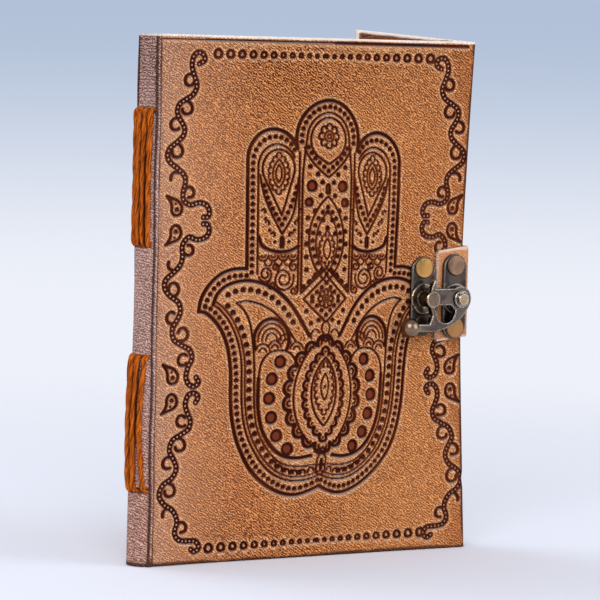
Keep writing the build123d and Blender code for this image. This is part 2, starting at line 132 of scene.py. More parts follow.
# %% Wires
class Wire:
    """An output of a node tree. Sums on wires add Math nodes, and node() adds any other kind."""

    def __init__(self, tree, socket=None):
        self.tree = tree
        self.socket = socket

    def node(self, kind, settings=None, links=None, output=0):
        """Adds a node. A link is a wire to an input, or a constant for it."""
        made = self.tree.nodes.new(kind)
        for name, value in (settings or {}).items():
            setattr(made, name, value)
        for name, value in (links or {}).items():
            if isinstance(value, Wire):
                self.tree.links.new(value.socket, made.inputs[name])
            else:
                made.inputs[name].default_value = value
        return Wire(self.tree, made.outputs[output] if made.outputs else None)

    def math(self, operation, first, second=0.0):
        return self.node("ShaderNodeMath", {"operation": operation}, {0: first, 1: second})

    def __add__(self, other):
        return self.math("ADD", self, other)

    def __sub__(self, other):
        return self.math("SUBTRACT", self, other)

    def __rsub__(self, other):
        return self.math("SUBTRACT", other, self)

    def __mul__(self, other):
        return self.math("MULTIPLY", self, other)

    __radd__ = __add__
    __rmul__ = __mul__

    def ramp(self, low, high, start=0.0, end=1.0):
        """Goes smoothly from start to end while this value goes from low to high."""
        values = {"Value": self, "From Min": low, "From Max": high, "To Min": start, "To Max": end}
        return self.node("ShaderNodeMapRange", {"interpolation_type": "SMOOTHSTEP"}, values)

    def blend(self, nothing, everything, mode="MIX"):
        """Mixes two colours with this value as the share of the second."""
        settings = {"data_type": "RGBA", "blend_type": mode}
        return self.node("ShaderNodeMix", settings, {0: self, 6: nothing, 7: everything}, output=2)

    def part(self, axis):
        """The X, Y or Z of a place or a direction."""
        return self.node("ShaderNodeSeparateXYZ", None, {0: self}, output=axis)

    def measure(self, operation, other=(0, 0, 0)):
        """A number from two places or directions, such as their distance."""
        places = {0: self, 1: other}
        return self.node("ShaderNodeVectorMath", {"operation": operation}, places, output="Value")


print("wires ready")

# %% [markdown]
# Every finish of the diary starts as an empty material and ends in the same shader, so two functions do
# that. Between them come noises, often drawn out along one direction, and numbers that a mesh carries at
# its vertices. Colours are written as on a paint chart, because a linear colour is hard to judge by eye.


# %% Tools for finishes
def srgb(red, green, blue):
    """A colour as a paint chart gives it, from 0 to 255, as Blender's linear colour."""
    shares = [c / 255 for c in (red, green, blue)]
    linear = [c / 12.92 if c <= 0.04045 else ((c + 0.055) / 1.055) ** 2.4 for c in shares]
    return (*linear, 1)


def new_finish(name):
    """An empty material, the wire that starts its nodes, and the object's own coordinates."""
    finish = bpy.data.materials.new(name)
    finish.use_nodes = True
    finish.node_tree.nodes.clear()
    wire = Wire(finish.node_tree)
    return finish, wire, wire.node("ShaderNodeTexCoord", output="Object")


def attribute(wire, name):
    """A number that each vertex of a mesh carries."""
    return wire.node("ShaderNodeAttribute", {"attribute_name": name}, output="Fac")


def noise(place, scale, detail=2.0, distortion=0.0):
    """Soft noise from 0 to 1, with features about 1 / scale across."""
    values = {"Vector": place, "Scale": scale, "Detail": detail, "Distortion": distortion}
    return place.node("ShaderNodeTexNoise", None, values)


def stretched(place, turn, scale):
    """Coordinates in which a pattern is drawn out along the axes by scale, and then turned."""
    values = {"Vector": place, "Rotation": turn, "Scale": scale}
    return place.node("ShaderNodeMapping", {"vector_type": "TEXTURE"}, values)


def surface(wire, colour, roughness, height, relief, gloss=0.5, metallic=0.0):
    """The shader of a finish: what varies is linked, and constants go on the shader's own sockets."""
    bump = wire.node("ShaderNodeBump", None, {"Strength": 1.0, "Distance": relief, "Height": height})
    links = {"Base Color": colour, "Roughness": roughness, "Normal": bump}
    links.update({"Specular IOR Level": gloss, "Metallic": metallic})
    shader = wire.node("ShaderNodeBsdfPrincipled", None, links)
    wire.node("ShaderNodeOutputMaterial", None, {"Surface": shader})


print("shader tools ready")

# %% [markdown]
# ## Stage and light
# A product picture stands on a pale sweep that has no horizon. The floor is a disc that fades out into
# the world's own gradient, so the object keeps its shadow and any side of it can be looked at. Only the
# camera and the reflections see the gradient: as a light, the world is an even white.

# %% World and floor
SKY_HIGH, SKY_LOW = srgb(178, 193, 216), srgb(238, 241, 250)
SKY_TOP, SKY_FOOT = 0.018, -0.068
AMBIENT = 0.6
FLOOR_R, FADE_START, FLOOR_GAP = 0.75, 0.2, 0.0002

world = bpy.data.worlds.new("studio")
bpy.context.scene.world = world
world.use_nodes = True
world.node_tree.nodes.clear()
air = Wire(world.node_tree)
height = air.node("ShaderNodeTexCoord", output="Generated").part("Z")
gradient = height.ramp(SKY_FOOT, SKY_TOP).blend(SKY_LOW, SKY_HIGH)
seen = 0.0
for ray in ("Is Camera Ray", "Is Glossy Ray", "Is Transmission Ray"):
    seen = air.node("ShaderNodeLightPath", output=ray) + seen
lit = air.node("ShaderNodeBackground", None, {"Color": (1, 1, 1, 1), "Strength": AMBIENT})
shown = air.node("ShaderNodeBackground", None, {"Color": gradient, "Strength": 1.0})
mixed = air.node("ShaderNodeMixShader", None, {0: seen, 1: lit, 2: shown})
air.node("ShaderNodeOutputWorld", None, {"Surface": mixed})

floor_finish, wire, spot = new_finish("pale_sweep")
distance = spot.measure("DISTANCE")
matt = wire.node("ShaderNodeBsdfDiffuse", None, {"Color": srgb(228, 232, 246)})
clear = wire.node("ShaderNodeBsdfTransparent")
fade = wire.node("ShaderNodeMixShader", None, {0: distance.ramp(FADE_START, FLOOR_R), 1: matt, 2: clear})
wire.node("ShaderNodeOutputMaterial", None, {"Surface": fade})

bm = bmesh.new()
bmesh.ops.create_circle(bm, cap_ends=True, segments=64, radius=FLOOR_R)
floor_mesh = bpy.data.meshes.new("floor")
bm.to_mesh(floor_mesh)
bm.free()
floor = bpy.data.objects.new("floor", floor_mesh)
floor.location = (CAMERA_TARGET.x, CAMERA_TARGET.y, -FLOOR_GAP)
floor_mesh.materials.append(floor_finish)
bpy.context.scene.collection.objects.link(floor)
print("floor", FLOOR_R * 2, "m across")

# %% [markdown]
# Three square area lamps light the diary: a key lamp at the left, a weaker fill lamp at the right and one
# behind. A point lamp would give hard shadows, and a large lamp gives soft ones. All look at the middle
# of the diary.

# %% Lamps
# Each lamp: name, place, size and power
LAMPS = [
    ("key_softbox", (-0.75, -1.0, 0.85), 0.9, 10.5),
    ("fill_softbox", (0.85, -0.95, 0.45), 0.9, 6.5),
    ("back_softbox", (-0.3, 0.9, 0.9), 0.8, 4.5),
]
for name, place, size, power in LAMPS:
    lamp = bpy.data.objects.new(name, bpy.data.lights.new(name, "AREA"))
    lamp.data.shape, lamp.data.size, lamp.data.energy = "SQUARE", size, power
    lamp.location = place
    lamp.rotation_euler = (Vector(place) - CAMERA_TARGET).to_track_quat("Z", "Y").to_euler()
    bpy.context.scene.collection.objects.link(lamp)
print(len(LAMPS), "lamps")

# %% [markdown]
# ## Drawing with a distance map
# Such ornament is pressed into damp leather with a heated plate. To press it here, every line is drawn
# into a map that holds, for each spot of the cover, the distance to the nearest line. A distance map is
# kinder than a picture: it stays smooth between its samples, so it can shape the grooves and also stain
# them with a crisp edge.

# %% Distance map
TINY = 1e-9


class Stamp:
    """How far each spot of the cover is from the pressed lines, in mm; it is negative inside a line."""

    STEP = 0.1
    REACH = 1.8

    def __init__(self, axis, half_width, low, high):
        self.origin = np.array([axis - half_width, low])
        size = (round((high - low) / self.STEP) + 1, round(2 * half_width / self.STEP) + 1)
        self.pressed = np.full(size, self.REACH, np.float32)
        self.raised = np.full(size, self.REACH, np.float32)

    def line(self, points, width, layer=None):
        """Draws a line of the given width; a line with one point is a dot."""
        layer = self.pressed if layer is None else layer
        points = np.atleast_2d(np.asarray(points, float))
        ends = points[1:] if len(points) > 1 else points
        for start, end in zip(points, ends):
            reach = self.REACH + width / 2
            low = np.floor((np.minimum(start, end) - reach - self.origin) / self.STEP).astype(int).clip(0)
            high = np.ceil((np.maximum(start, end) + reach - self.origin) / self.STEP).astype(int)
            window = layer[low[1]:high[1], low[0]:high[0]]
            rows, columns = window.shape
            u = self.origin[0] + (low[0] + np.arange(columns)) * self.STEP - start[0]
            z = self.origin[1] + (low[1] + np.arange(rows)) * self.STEP - start[1]
            along = end - start
            share = np.add.outer(z * along[1], u * along[0]) / max(along @ along, TINY)
            share = share.clip(0, 1)
            gap = np.hypot(u[None, :] - share * along[0], z[:, None] - share * along[1]) - width / 2
            np.minimum(window, gap, out=window)

    def dots(self, places, radius, layer=None):
        for place in places:
            self.line([place], 2 * radius, layer)

    def ring(self, centre, radius, width):
        self.line(arc(centre, radius, 0, 360), width)

    def mirror(self):
        """Repeats what is drawn so far on the other side of the axis."""
        for layer in (self.pressed, self.raised):
            np.minimum(layer, layer[:, ::-1].copy(), out=layer)

    def at(self, u, z, field=None):
        """The map's value at any spots, read between its samples."""
        field = np.maximum(self.pressed, -self.raised) if field is None else field
        # A hair short of the last samples, so that every spot has a next one
        last_row, last_column = np.subtract(field.shape, 1.001)
        column = ((u - self.origin[0]) / self.STEP).clip(0, last_column)
        row = ((z - self.origin[1]) / self.STEP).clip(0, last_row)
        c, r = column.astype(int), row.astype(int)
        right_share, up_share = column - c, row - r
        foot = field[r, c] * (1 - right_share) + field[r, c + 1] * right_share
        head = field[r + 1, c] * (1 - right_share) + field[r + 1, c + 1] * right_share
        return foot * (1 - up_share) + head * up_share


print("distance maps have a sample every", Stamp.STEP, "mm")

# %% [markdown]
# Every line of the ornament is a path, which is a list of points. A few functions make the curved ones:
# arcs, smooth curves through a few points, almonds, teardrops and spirals. Two more work on any path: one
# moves it sideways, and one walks along it in even steps.

# %% Paths
# Fewest steps of an arc and a spiral, and how finely arcs, smooth curves and spirals are stepped
ARC_LEAST, ARC_DETAIL = 6, 25
SPAN_STEPS = 8
CURL_LEAST, CURL_DETAIL = 8, 18


def arc(centre, radius, start, end):
    """Points on an arc, from one angle to another in degrees, counted from the right."""
    steps = max(ARC_LEAST, ceil(abs(end - start) * radius / ARC_DETAIL))
    angles = np.radians(np.linspace(start, end, steps + 1))
    return np.column_stack([centre[0] + radius * np.cos(angles), centre[1] + radius * np.sin(angles)])


def smooth(*points):
    """A smooth curve through a few points."""
    knots = np.array([points[0], *points, points[-1]], float)
    share = np.linspace(0, 1, SPAN_STEPS + 1)[:-1, None]
    spans = []
    for a, b, c, d in zip(knots, knots[1:], knots[2:], knots[3:]):
        bend = (2 * a - 5 * b + 4 * c - d) * share**2 + (3 * b - a - 3 * c + d) * share**3
        spans.append(b + ((c - a) * share + bend) / 2)
    return np.vstack([*spans, knots[-1:]])


def beside(path, distance):
    """The same path, moved to its left."""
    along = np.gradient(path, axis=0)
    along /= np.linalg.norm(along, axis=1, keepdims=True) + TINY
    return path + distance * np.column_stack([-along[:, 1], along[:, 0]])


def spaced(path, pitch):
    """Evenly spaced places along a path, and the angle of the path at each."""
    steps = np.linalg.norm(np.diff(path, axis=0), axis=1)
    walked = np.concatenate([[0], np.cumsum(steps)])
    stops = np.linspace(0, walked[-1], max(2, round(walked[-1] / pitch) + 1))
    places = np.column_stack([np.interp(stops, walked, path[:, k]) for k in (0, 1)])
    along = np.gradient(places, axis=0)
    return places, np.degrees(np.arctan2(along[:, 1], along[:, 0]))


def almond(centre, half_width, half_height):
    """The left side of a pointed oval, from its top to its foot."""
    radius = (half_width**2 + half_height**2) / (2 * half_width)
    half_angle = np.degrees(np.arcsin(half_height / radius))
    return arc((centre[0] - half_width + radius, centre[1]), radius, 180 - half_angle, 180 + half_angle)


def drop(centre, radius, tip):
    """A teardrop: a round head whose sides run straight to the tip."""
    away = np.subtract(tip, centre)
    aim = np.degrees(np.arctan2(away[1], away[0]))
    touch = np.degrees(np.arccos(radius / np.hypot(*away)))
    return np.vstack([[tip], arc(centre, radius, aim + touch, aim + 360 - touch), [tip]])


def curl(centre, radius, start, turns, fall=0.72):
    """A spiral that winds in from its start angle; negative turns wind clockwise."""
    share = np.linspace(0, 1, max(CURL_LEAST, ceil(abs(turns) * CURL_DETAIL)))
    angles = np.radians(start) + tau * turns * share
    reach = radius * (1 - fall * share)
    return np.column_stack([centre[0] + reach * np.cos(angles), centre[1] + reach * np.sin(angles)])


print("paths ready, a full turn of a 10 mm arc has", len(arc((0, 0), 10, 0, 360)), "points")

# %% [markdown]
# ## The open hand
# An open hand is an old sign of good luck. It is the same on both sides of its middle, so only the left
# half is drawn and then mirrored. Its outline is a row of beads between two lines. Where beads follow a
# line, its path is moved sideways and walked in even steps.

# %% Outline of the hand
AXIS = 67.6
MAP_HALF, MAP_MARGIN = 70.0, 2.0
BOLD, LINE, FINE = 1.25, 0.68, 0.54
BEAD_R, BEAD_PITCH = 0.84, 2.3
MIDDLE_TIP = (AXIS, 143.6)
stamp = Stamp(AXIS, MAP_HALF, -MAP_MARGIN, COVER_H + MAP_MARGIN)


def beads(path, pitch=BEAD_PITCH, radius=BEAD_R, skip=0):
    """Dots in even steps along a path; the first ones can be left out."""
    stamp.dots(spaced(path, pitch)[0][skip:], radius)


middle_finger = arc(MIDDLE_TIP, 13.0, 90, 196)
side_finger = np.vstack([arc((45.6, 136.4), 10.2, 22, 180), [(35.5, 99.4)]])
thumb_back = smooth((35.5, 99.3), (30.5, 99.2), (25.5, 97.7), (21, 94.2), (18, 89.6), (17.1, 85.1))
heel = smooth(
    (17.1, 85.1), (19.8, 84.6), (23.2, 82), (26.4, 77.8), (28.6, 72), (29.8, 64), (30.2, 56), (31.2, 48.5),
    (33.4, 41), (37, 34.3), (42, 28.6), (48, 24.4), (54, 21.9), (59, 21.4), (63.5, 22.4), (AXIS, 24.0),
)
for path in (middle_finger, side_finger, thumb_back, heel):
    stamp.line(path, BOLD)

middle_inner = np.vstack([arc(MIDDLE_TIP, 8.8, 90, 178), [(57.9, 137), (57.3, 131), (57.3, 91)]])
side_inner = np.vstack([arc((47.1, 134), 7.5, 25, 180), [(39.7, 97.5)]])
thumb_inner = smooth(
    (22.6, 87.4), (24.2, 91), (28, 93.8), (34, 95.2), (40, 94.7), (46, 92.6), (51, 89.2), (55.3, 84.5),
    (61, 75.8),
)
heel_inner = smooth(
    (22.6, 87.4), (25.4, 85.6), (29, 81.6), (32, 75.8), (33.7, 69), (34.2, 61), (34.7, 53.5), (36, 46.5),
    (38.6, 40), (42.5, 34.3), (47.5, 29.8), (53, 27), (58, 26.1), (63, 26.5), (AXIS, 27.9),
)
for path, width in ((middle_inner, LINE), (side_inner, LINE), (thumb_inner, BOLD), (heel_inner, LINE)):
    stamp.line(path, width)
stamp.line(beside(heel_inner, 1.35), FINE)
stamp.line([(56.0, 139.0), (56.0, 91.5)], LINE)

beads(arc(MIDDLE_TIP, 10.9, 90, 186))
beads(np.vstack([arc((46.3, 135.3), 8.8, 30, 180), [(37.5, 98)]]))
beads(beside(thumb_back, 2.3)[:-4])
beads(beside(heel, 2.1)[6:])
print("outline drawn, pressed", int((stamp.pressed < 0).sum() * Stamp.STEP**2), "square mm")

# %% [markdown]
# The fingers hold teardrops with a flower in each. A flower is a ring of small arcs, and so is a
# scalloped rim: `scallops` walks along a path and sets an arc at each step.

# %% Fingers
PETAL_HALF = 110
EYE_SHARES = (0.62, 0.26)
SIDE_FLOWER = (47.8, 131.6)
STALK_X = 49.3


def scallops(path, pitch, radius, width, eye=0.0):
    """A row of small arches along a path, on its right-hand side; each can have a dot in it."""
    places, angles = spaced(path, pitch)
    for place, angle in zip(places, angles):
        stamp.line(arc(place, radius, angle - 180, angle), width)
        if eye:
            stamp.dots([place], eye)


def flower(centre, radius, petals, petal_r):
    """A ring of petals round a ringed eye."""
    for n in range(petals):
        angle = 360 * n / petals + 90
        place = arc(centre, radius, angle, angle)[0]
        stamp.line(arc(place, petal_r, angle - PETAL_HALF, angle + PETAL_HALF), LINE)
    for share in EYE_SHARES:
        stamp.ring(centre, radius * share, FINE)


def whole_almond(centre, half_width, half_height):
    """Both sides of a pointed oval, counterclockwise from its top."""
    left = almond(centre, half_width, half_height)
    other = left[::-1] * (-1, 1) + (2 * centre[0], 0)
    return np.vstack([left, other])


stamp.line(drop((47.7, 133.3), 6.4, (49.2, 117.4)), LINE)
stamp.line(smooth((40.4, 131), (42, 124.5), (45.3, 117.6), (49.4, 111)), LINE)
stamp.line(smooth((49.4, 111), (53.4, 117.2), (55, 124), (55.6, 130)), LINE)
beads(smooth((41.9, 127.5), (44.3, 121.4), (49.3, 114.2)))
beads(smooth((49.3, 114.2), (53.2, 121.4), (54.9, 127)), skip=1)
stamp.line(whole_almond(SIDE_FLOWER, 1.2, 3.0), FINE)
stamp.line(whole_almond(SIDE_FLOWER, 2.4, 4.8), FINE)
scallops(whole_almond(SIDE_FLOWER, 3.3, 6.1), 2.1, 1.0, FINE)
stamp.line(smooth((40.2, 110), (41.6, 107), (45, 105.4), (49, 104.8), (53, 105.3), (56, 106.8)), BOLD)
stamp.line([(49.4, 109.4), (49.4, 106.9)], 1.9)
for side in (-1, 1):
    for reach, height in ((7.2, 118.6), (5.6, 114.6), (3.4, 110.6)):
        stamp.line(curl((STALK_X + reach * side, height), 1.1, 90 - 60 * side, 0.55 * side), LINE)
        stamp.dots([(STALK_X + (reach - 0.6) * side, height - 2.3)], 0.55)

stamp.line(drop((AXIS, 143.4), 7.3, (AXIS, 134.8)), LINE)
stamp.line(smooth((57.8, 140.5), (60.3, 136.6), (63.8, 133.2), (AXIS, 130.3)), LINE)
beads(smooth((59.4, 140.6), (62.4, 136.6), (AXIS, 132.5)))
flower((AXIS, 144.4), 3.0, 8, 1.2)
print("fingers drawn")

# %% [markdown]
# Between the fingers and the palm lie eyes, loose dots, nested almonds, a diamond and curls. An eye is a
# full dot with one heavier side, as if the plate was pressed a little askew. An almond is two arcs of one
# large radius, so its half width and half height say all about it.

# %% Middle of the hand
EYE_R, EYE_W, EYE_SHIFT = 1.7, 1.15, 0.15


def pressed_eye(centre, size=1.0):
    """A round eye that is heavier on one side."""
    stamp.dots([centre], EYE_R * size + EYE_W / 2)
    stamp.line(arc(centre, EYE_R * size + EYE_SHIFT, 130, 290), EYE_W)


pressed_eye((61.2, 127.4), 0.9)
pressed_eye((60.1, 121.8), 0.65)
stamp.line([(AXIS, 127.2), (AXIS, 125.4)], 2.2)
loose_dots = [
    (60.2, 134), (63.3, 131.4), (64.6, 124), (62.4, 118.8), (59.6, 116.4), (AXIS, 118.4), (65.2, 128.6),
    (59.6, 111.8), (59.2, 107.4), (59.2, 103), (59.4, 98.6), (63, 96.8), (AXIS, 113), (65.6, 115.6),
    (64.2, 111), (61, 94.6),
]
stamp.dots(loose_dots, 0.9)
stamp.line(almond((AXIS, 108.0), 4.6, 10.6), FINE)
stamp.line(almond((AXIS, 109.0), 7.4, 14.8), LINE)
beads(almond((AXIS, 108.5), 6.0, 11.6), 2.6, 0.82)
stamp.line(almond((AXIS, 105.7), 1.5, 3.6), FINE)
scallops(almond((AXIS, 105.7), 2.7, 5.2), 1.9, 0.85, FINE)

stamp.line([(AXIS, 96.6), (58.4, 88.6), (AXIS, 80.4)], LINE)
stamp.line([(AXIS, 99.2), (57.3, 90.6)], LINE)
beads(np.array([(AXIS, 94), (61, 88.5), (AXIS, 83)]), 2.4)
beads(np.array([(58.4, 92.8), (64.5, 97.6)]), 2.4)
flower((AXIS, 88.6), 2.3, 8, 0.95)

for u in (42, 46, 50, 54):
    for radius in (0.8, 1.9):
        stamp.line(arc((u, 103.8), radius, 185, 355), FINE)
for u in (44, 48, 52):
    stamp.line(arc((u, 101.6), 1.5, 185, 355), FINE)
# Each curl: centre, size, angle at which it starts, and turns
middle_curls = [
    ((43.0, 97.4), 2.9, 200, 1.6), ((50.2, 95.6), 4.2, 20, -1.9), ((54.2, 99.8), 1.9, 90, 1.2),
    ((46.9, 99.6), 1.6, 300, 1.2), ((45.6, 93.6), 1.8, 120, 1.2), ((54.4, 91.6), 1.7, 60, -1.2),
]
for centre, size, start, turns in middle_curls:
    stamp.line(curl(centre, size, start, turns), 0.6)
print("middle drawn")

# %% [markdown]
# The palm carries nested contours: a leaf below the thumb, a rainbow of arches, a ring of eyes and a
# large almond with scalloped rims, which is several almonds of falling size. The left half is then
# complete, and `mirror` makes the right one.

# %% Palm
RAINBOW = (45.7, 75.0)
PALM_EYE = (AXIS, 55.5)
leaf_top = smooth((31.7, 87.8), (36, 88.3), (41.5, 87), (46.5, 84.4), (50.8, 80.5), (54.4, 75.5))
leaf_foot = smooth((31.7, 87.8), (34.8, 85.2), (37, 81), (38.1, 75.5), (38.8, 69), (39.2, 60), (39.7, 52))
rim_foot = smooth((39.7, 52), (41, 45.5), (44, 39.5), (48.5, 34.5), (53.5, 31.8), (59, 31), (64.8, 31.4))
stamp.line(leaf_top, LINE)
stamp.line(leaf_foot, LINE)
stamp.line(rim_foot, FINE)
beads(beside(thumb_inner, -3.0)[14:-6], 3.1, 1.0)
beads(beside(heel_inner, 2.9)[10:-14], 3.1, 1.0)
for place, angle in zip(*spaced(beside(heel_inner, 2.5)[-34:], 3.3)):
    stamp.line(arc(place, 1.15, angle, angle + 180), LINE)

stamp.line(arc(RAINBOW, 7.0, 205, -30), BOLD)
for radius in (2.2, 3.8, 5.4):
    stamp.line(arc(RAINBOW, radius, 185, -5), FINE)
for centre, size in (((42.2, 70.6), 3.0), ((47.0, 71.9), 2.6), ((51.8, 73.2), 3.6), ((55.8, 71.2), 2.6)):
    for share in (0.5, 1.0):
        stamp.line(arc(centre, size * share, 165, 10), FINE)

palm_foot = smooth((40.8, 62), (41.2, 52), (43.2, 44.2), (47.2, 38.2), (52, 34.9), (57.5, 33.9), (63, 34.5))
palm_top = smooth((56, 66.5), (53.3, 70.1), (49, 71.2), (44.5, 70.2), (41.6, 66.8), (40.8, 62))
stamp.line(palm_foot, BOLD)
stamp.line(palm_top, LINE)
for centre in ((49.3, 67.3), (46.2, 61.5), (45.5, 54.9), (46.6, 48.3), (49, 42), (53.5, 37.3)):
    pressed_eye(centre)

palm_rim = almond(PALM_EYE, 14.2, 18.0)[2:-2]
scallops(palm_rim, 5.4, 2.4, 1.3)
scallops(palm_rim, 5.4, 0.9, LINE)
stamp.line(almond(PALM_EYE, 12.5, 20.4), LINE)
scallops(almond(PALM_EYE, 7.5, 14.8), 3.3, 1.5, 1.05, 0.4)
stamp.line(almond((AXIS, 56.5), 5.4, 11.8), LINE)
scallops(almond((AXIS, 57.6), 3.4, 8.2), 2.2, 1.0, FINE)
stamp.line(almond((AXIS, 58.2), 1.6, 4.6), FINE)
stamp.dots([(AXIS, 58.2), (AXIS, 47.2)], 0.5)

stamp.line(almond((AXIS, 78.4), 1.7, 2.6), FINE)
stamp.line(arc((63.4, 76.0), 1.9, 30, 210), FINE)
stamp.line(np.vstack([arc((AXIS, 33.0), 1.9, 90, 180), arc((AXIS, 29.8), 1.9, 180, 270)]), FINE)
stamp.line([(AXIS, 33.0), (AXIS, 30.0)], BOLD)
stamp.dots([(61.5, 80.2), (64.6, 81.2), (59.6, 84.4), (57.6, 81)], BEAD_R)
stamp.mirror()
print("hand drawn, pressed", int((stamp.pressed < 0).sum() * Stamp.STEP**2), "square mm")

# %% [markdown]
# ## The border
# The border has a map of its own, because the hand sits a little skewed in it. A vine climbs each side: a
# dark band with pale beads, whose stem swings from side to side and throws a curl at every swing. The
# right vine is the left one seen in a mirror.

# %% Vines
VINE_AXIS = 64.7
VINE_W, VINE_BEAD_R, VINE_BEAD_PITCH = 1.9, 0.34, 1.5
CURL_W, CURL_SIZE, CURL_SHARE, CURL_FALL = 1.1, 1.12, 0.8, 0.3
PAISLEY_W = 1.0
border = Stamp(AXIS, MAP_HALF, -MAP_MARGIN, COVER_H + MAP_MARGIN)
stems = [
    smooth(
        (15.6, 168.2), (17.6, 169.4), (17.2, 171.3), (15, 172), (13.2, 170.5), (12.7, 167.5),
        (13.6, 164.5), (14.8, 161), (13.4, 158), (10.5, 156.2), (8, 154.5), (7.3, 152), (8.6, 149.4),
        (10.2, 146.8), (9.8, 144.2), (7.4, 142), (4.8, 140), (3.9, 137.4), (5.2, 135), (8.2, 133),
        (10.7, 130.6), (10.9, 128), (10.1, 125), (10.6, 122.5), (13.2, 121), (16.5, 121.7), (19.5, 121),
        (20.8, 118.8), (20.1, 117), (18.4, 116.9),
    ),
    smooth(
        (18.4, 114.6), (20.1, 114.4), (20.8, 112.4), (19.5, 110.2), (16.2, 109.3), (12.8, 110.2),
        (10.3, 107.6), (10.4, 104), (9.6, 101), (7, 98.4), (4.1, 96), (3.9, 93), (6, 90.5), (9, 88.5),
        (10, 85.4), (8.6, 82.4), (6.9, 79.4), (7.6, 76), (10.6, 74), (13.8, 72.4), (14.8, 69.5),
        (13.4, 66.6), (12.6, 63.4), (13.8, 60.8), (16, 60), (17.6, 61.4), (16.6, 63),
    ),
    smooth(
        (16.6, 54.6), (17.6, 56.4), (16, 57.7), (13.6, 57), (12.6, 54), (13.6, 51), (14.8, 48.4),
        (14, 45.6), (11, 43.8), (7.8, 42), (6.7, 38.6), (8.5, 35.5), (9.6, 32.5), (8, 29.4), (4.4, 27),
        (3.2, 23.6), (5, 20.6), (8.6, 18.2), (10.3, 14.6), (9.4, 10.8), (11.2, 8.2), (14.6, 7.7),
        (17.8, 7.4), (19.2, 5.4), (17.6, 3.9), (16, 4.8),
    ),
]
# Each curl: centre, size, angle at which it leaves the stem, and turns
curls = [
    ((12.0, 162.5), 2.0, 60, 0.95), ((10.9, 153.2), 2.2, 100, -0.95), ((6.8, 147.7), 2.1, 40, 0.95),
    ((7.3, 138.9), 2.3, 90, -0.95), ((6.9, 129.7), 2.1, 60, 0.45), ((12.7, 125.0), 1.9, 170, -0.95),
    ((12.8, 106.0), 1.9, 190, 0.95), ((6.6, 101.4), 2.1, 290, -0.45), ((6.9, 92.9), 2.2, 280, 0.95),
    ((6.6, 83.4), 2.1, 330, -0.95), ((10.8, 77.8), 2.2, 250, 0.95), ((11.3, 68.8), 2.0, 50, 0.95),
    ((11.3, 48.6), 2.0, 310, -0.95), ((10.6, 40.2), 2.2, 110, -0.95), ((6.2, 34.2), 2.1, 40, 0.9),
    ((6.9, 25.0), 2.2, 90, -0.95), ((6.2, 16.8), 2.1, 50, 0.5), ((12.2, 12.2), 1.9, 170, -0.95),
]
# Each paisley: centre, and 1 if it points up; then its outline, and the place and size of its dots
paisleys = [((7.6, 119.6), 1), ((7.4, 112), -1), ((7.2, 63.2), 1), ((7.0, 55.4), -1)]
comma = smooth(
    (-3.6, 4.4), (-1.6, 3.6), (0.9, 2.6), (2.2, 0.6), (1.5, -1.6), (-0.4, -2.1), (-1.7, -0.8), (-1.8, 1.2),
    (-2.4, 2.8), (-3.6, 4.4),
)
paisley_dots = [((0.2, -0.1), 0.8), ((-0.3, 1.9), 0.4)]


def placed(path, flip):
    """A path of the left vine, or its mirror image on the right."""
    return np.asarray(path) * (-1, 1) + (2 * VINE_AXIS, 0) if flip else np.asarray(path)


for flip in (False, True):
    for stem in stems:
        band = placed(stem, flip)
        border.line(band, VINE_W)
        border.dots(spaced(band, VINE_BEAD_PITCH)[0], VINE_BEAD_R, border.raised)
    for centre, size, start, turns in curls:
        tendril = curl(centre, size * CURL_SIZE, start, turns * CURL_SHARE, CURL_FALL)
        border.line(placed(tendril, flip), CURL_W)
    for centre, upward in paisleys:
        border.line(placed(comma * (1, upward) + centre, flip), PAISLEY_W)
        for (right_by, up_by), radius in paisley_dots:
            border.dots([placed(np.add(centre, (right_by, up_by * upward)), flip)], radius)
print("vines drawn:", len(stems) * 2, "stems,", len(curls) * 2, "curls")

# %% [markdown]
# A row of rings closes the border at the head, and another one at the foot. The rings shrink from both
# ends of a row to its middle, so the loop works its way in from the ends: each step is as long as the
# radii of both its rings and a gap. The line below the head grows bolder to the right.

# %% Rows of rings
ROW_MIDDLE, ROW_HALF = 66.0, 43.0
HEAD_ROW_Z, FOOT_ROW_Z, FOOT_ROW_SLOPE = 171.7, 5.3, 0.012
RING_LARGE, RING_SMALL = 1.9, 0.75
RING_FALL, RING_GAP = 0.93, 1.25
WALL_LEAST, WALL_SHARE = 0.4, 0.32
# Places on the line below the head, how far below it they lie, and the line's widths between them
HEAD_LINE_U, HEAD_LINE_BELOW = (1.5, 18.0, 70.0, COVER_W - 3), (1.7, 1.7, 1.75, 1.8)
HEAD_LINE_W = (0.35, 0.65, 1.0)


def ring_row(height, slope=0.0):
    """Rings that shrink from both ends of a row to its middle, and their walls with them."""
    reach, radius = ROW_HALF, RING_LARGE
    while reach > 0:
        for side in (-1, 1):
            place = (ROW_MIDDLE + side * reach, height + slope * side * reach)
            wall = WALL_LEAST + WALL_SHARE * radius
            border.ring(place, radius - wall / 2, wall)
        step = radius
        radius = max(RING_SMALL, radius * RING_FALL)
        reach -= step + radius + RING_GAP


ring_row(HEAD_ROW_Z)
ring_row(FOOT_ROW_Z, FOOT_ROW_SLOPE)
head_line = np.column_stack([HEAD_LINE_U, COVER_H - np.array(HEAD_LINE_BELOW)])
for start, end, width in zip(head_line, head_line[1:], HEAD_LINE_W):
    border.line([start, end], width)
print("border drawn")

# %% [markdown]
# The plate slipped a little, so the hand isn't quite even on the cover: its middle wanders with the
# height, and its two halves differ in width. The hand's map is therefore read at shifted places. Joining
# it with the border's map is then one step: the nearer line counts.

# %% Both maps on the cover
# At these heights the hand's middle lies at these places
SLIP_Z = (20, 28, 36, 65, 88, 150)
SLIP_MIDDLE = (66.6, 67.6, 68.7, 69.7, 69.2, 68.6)
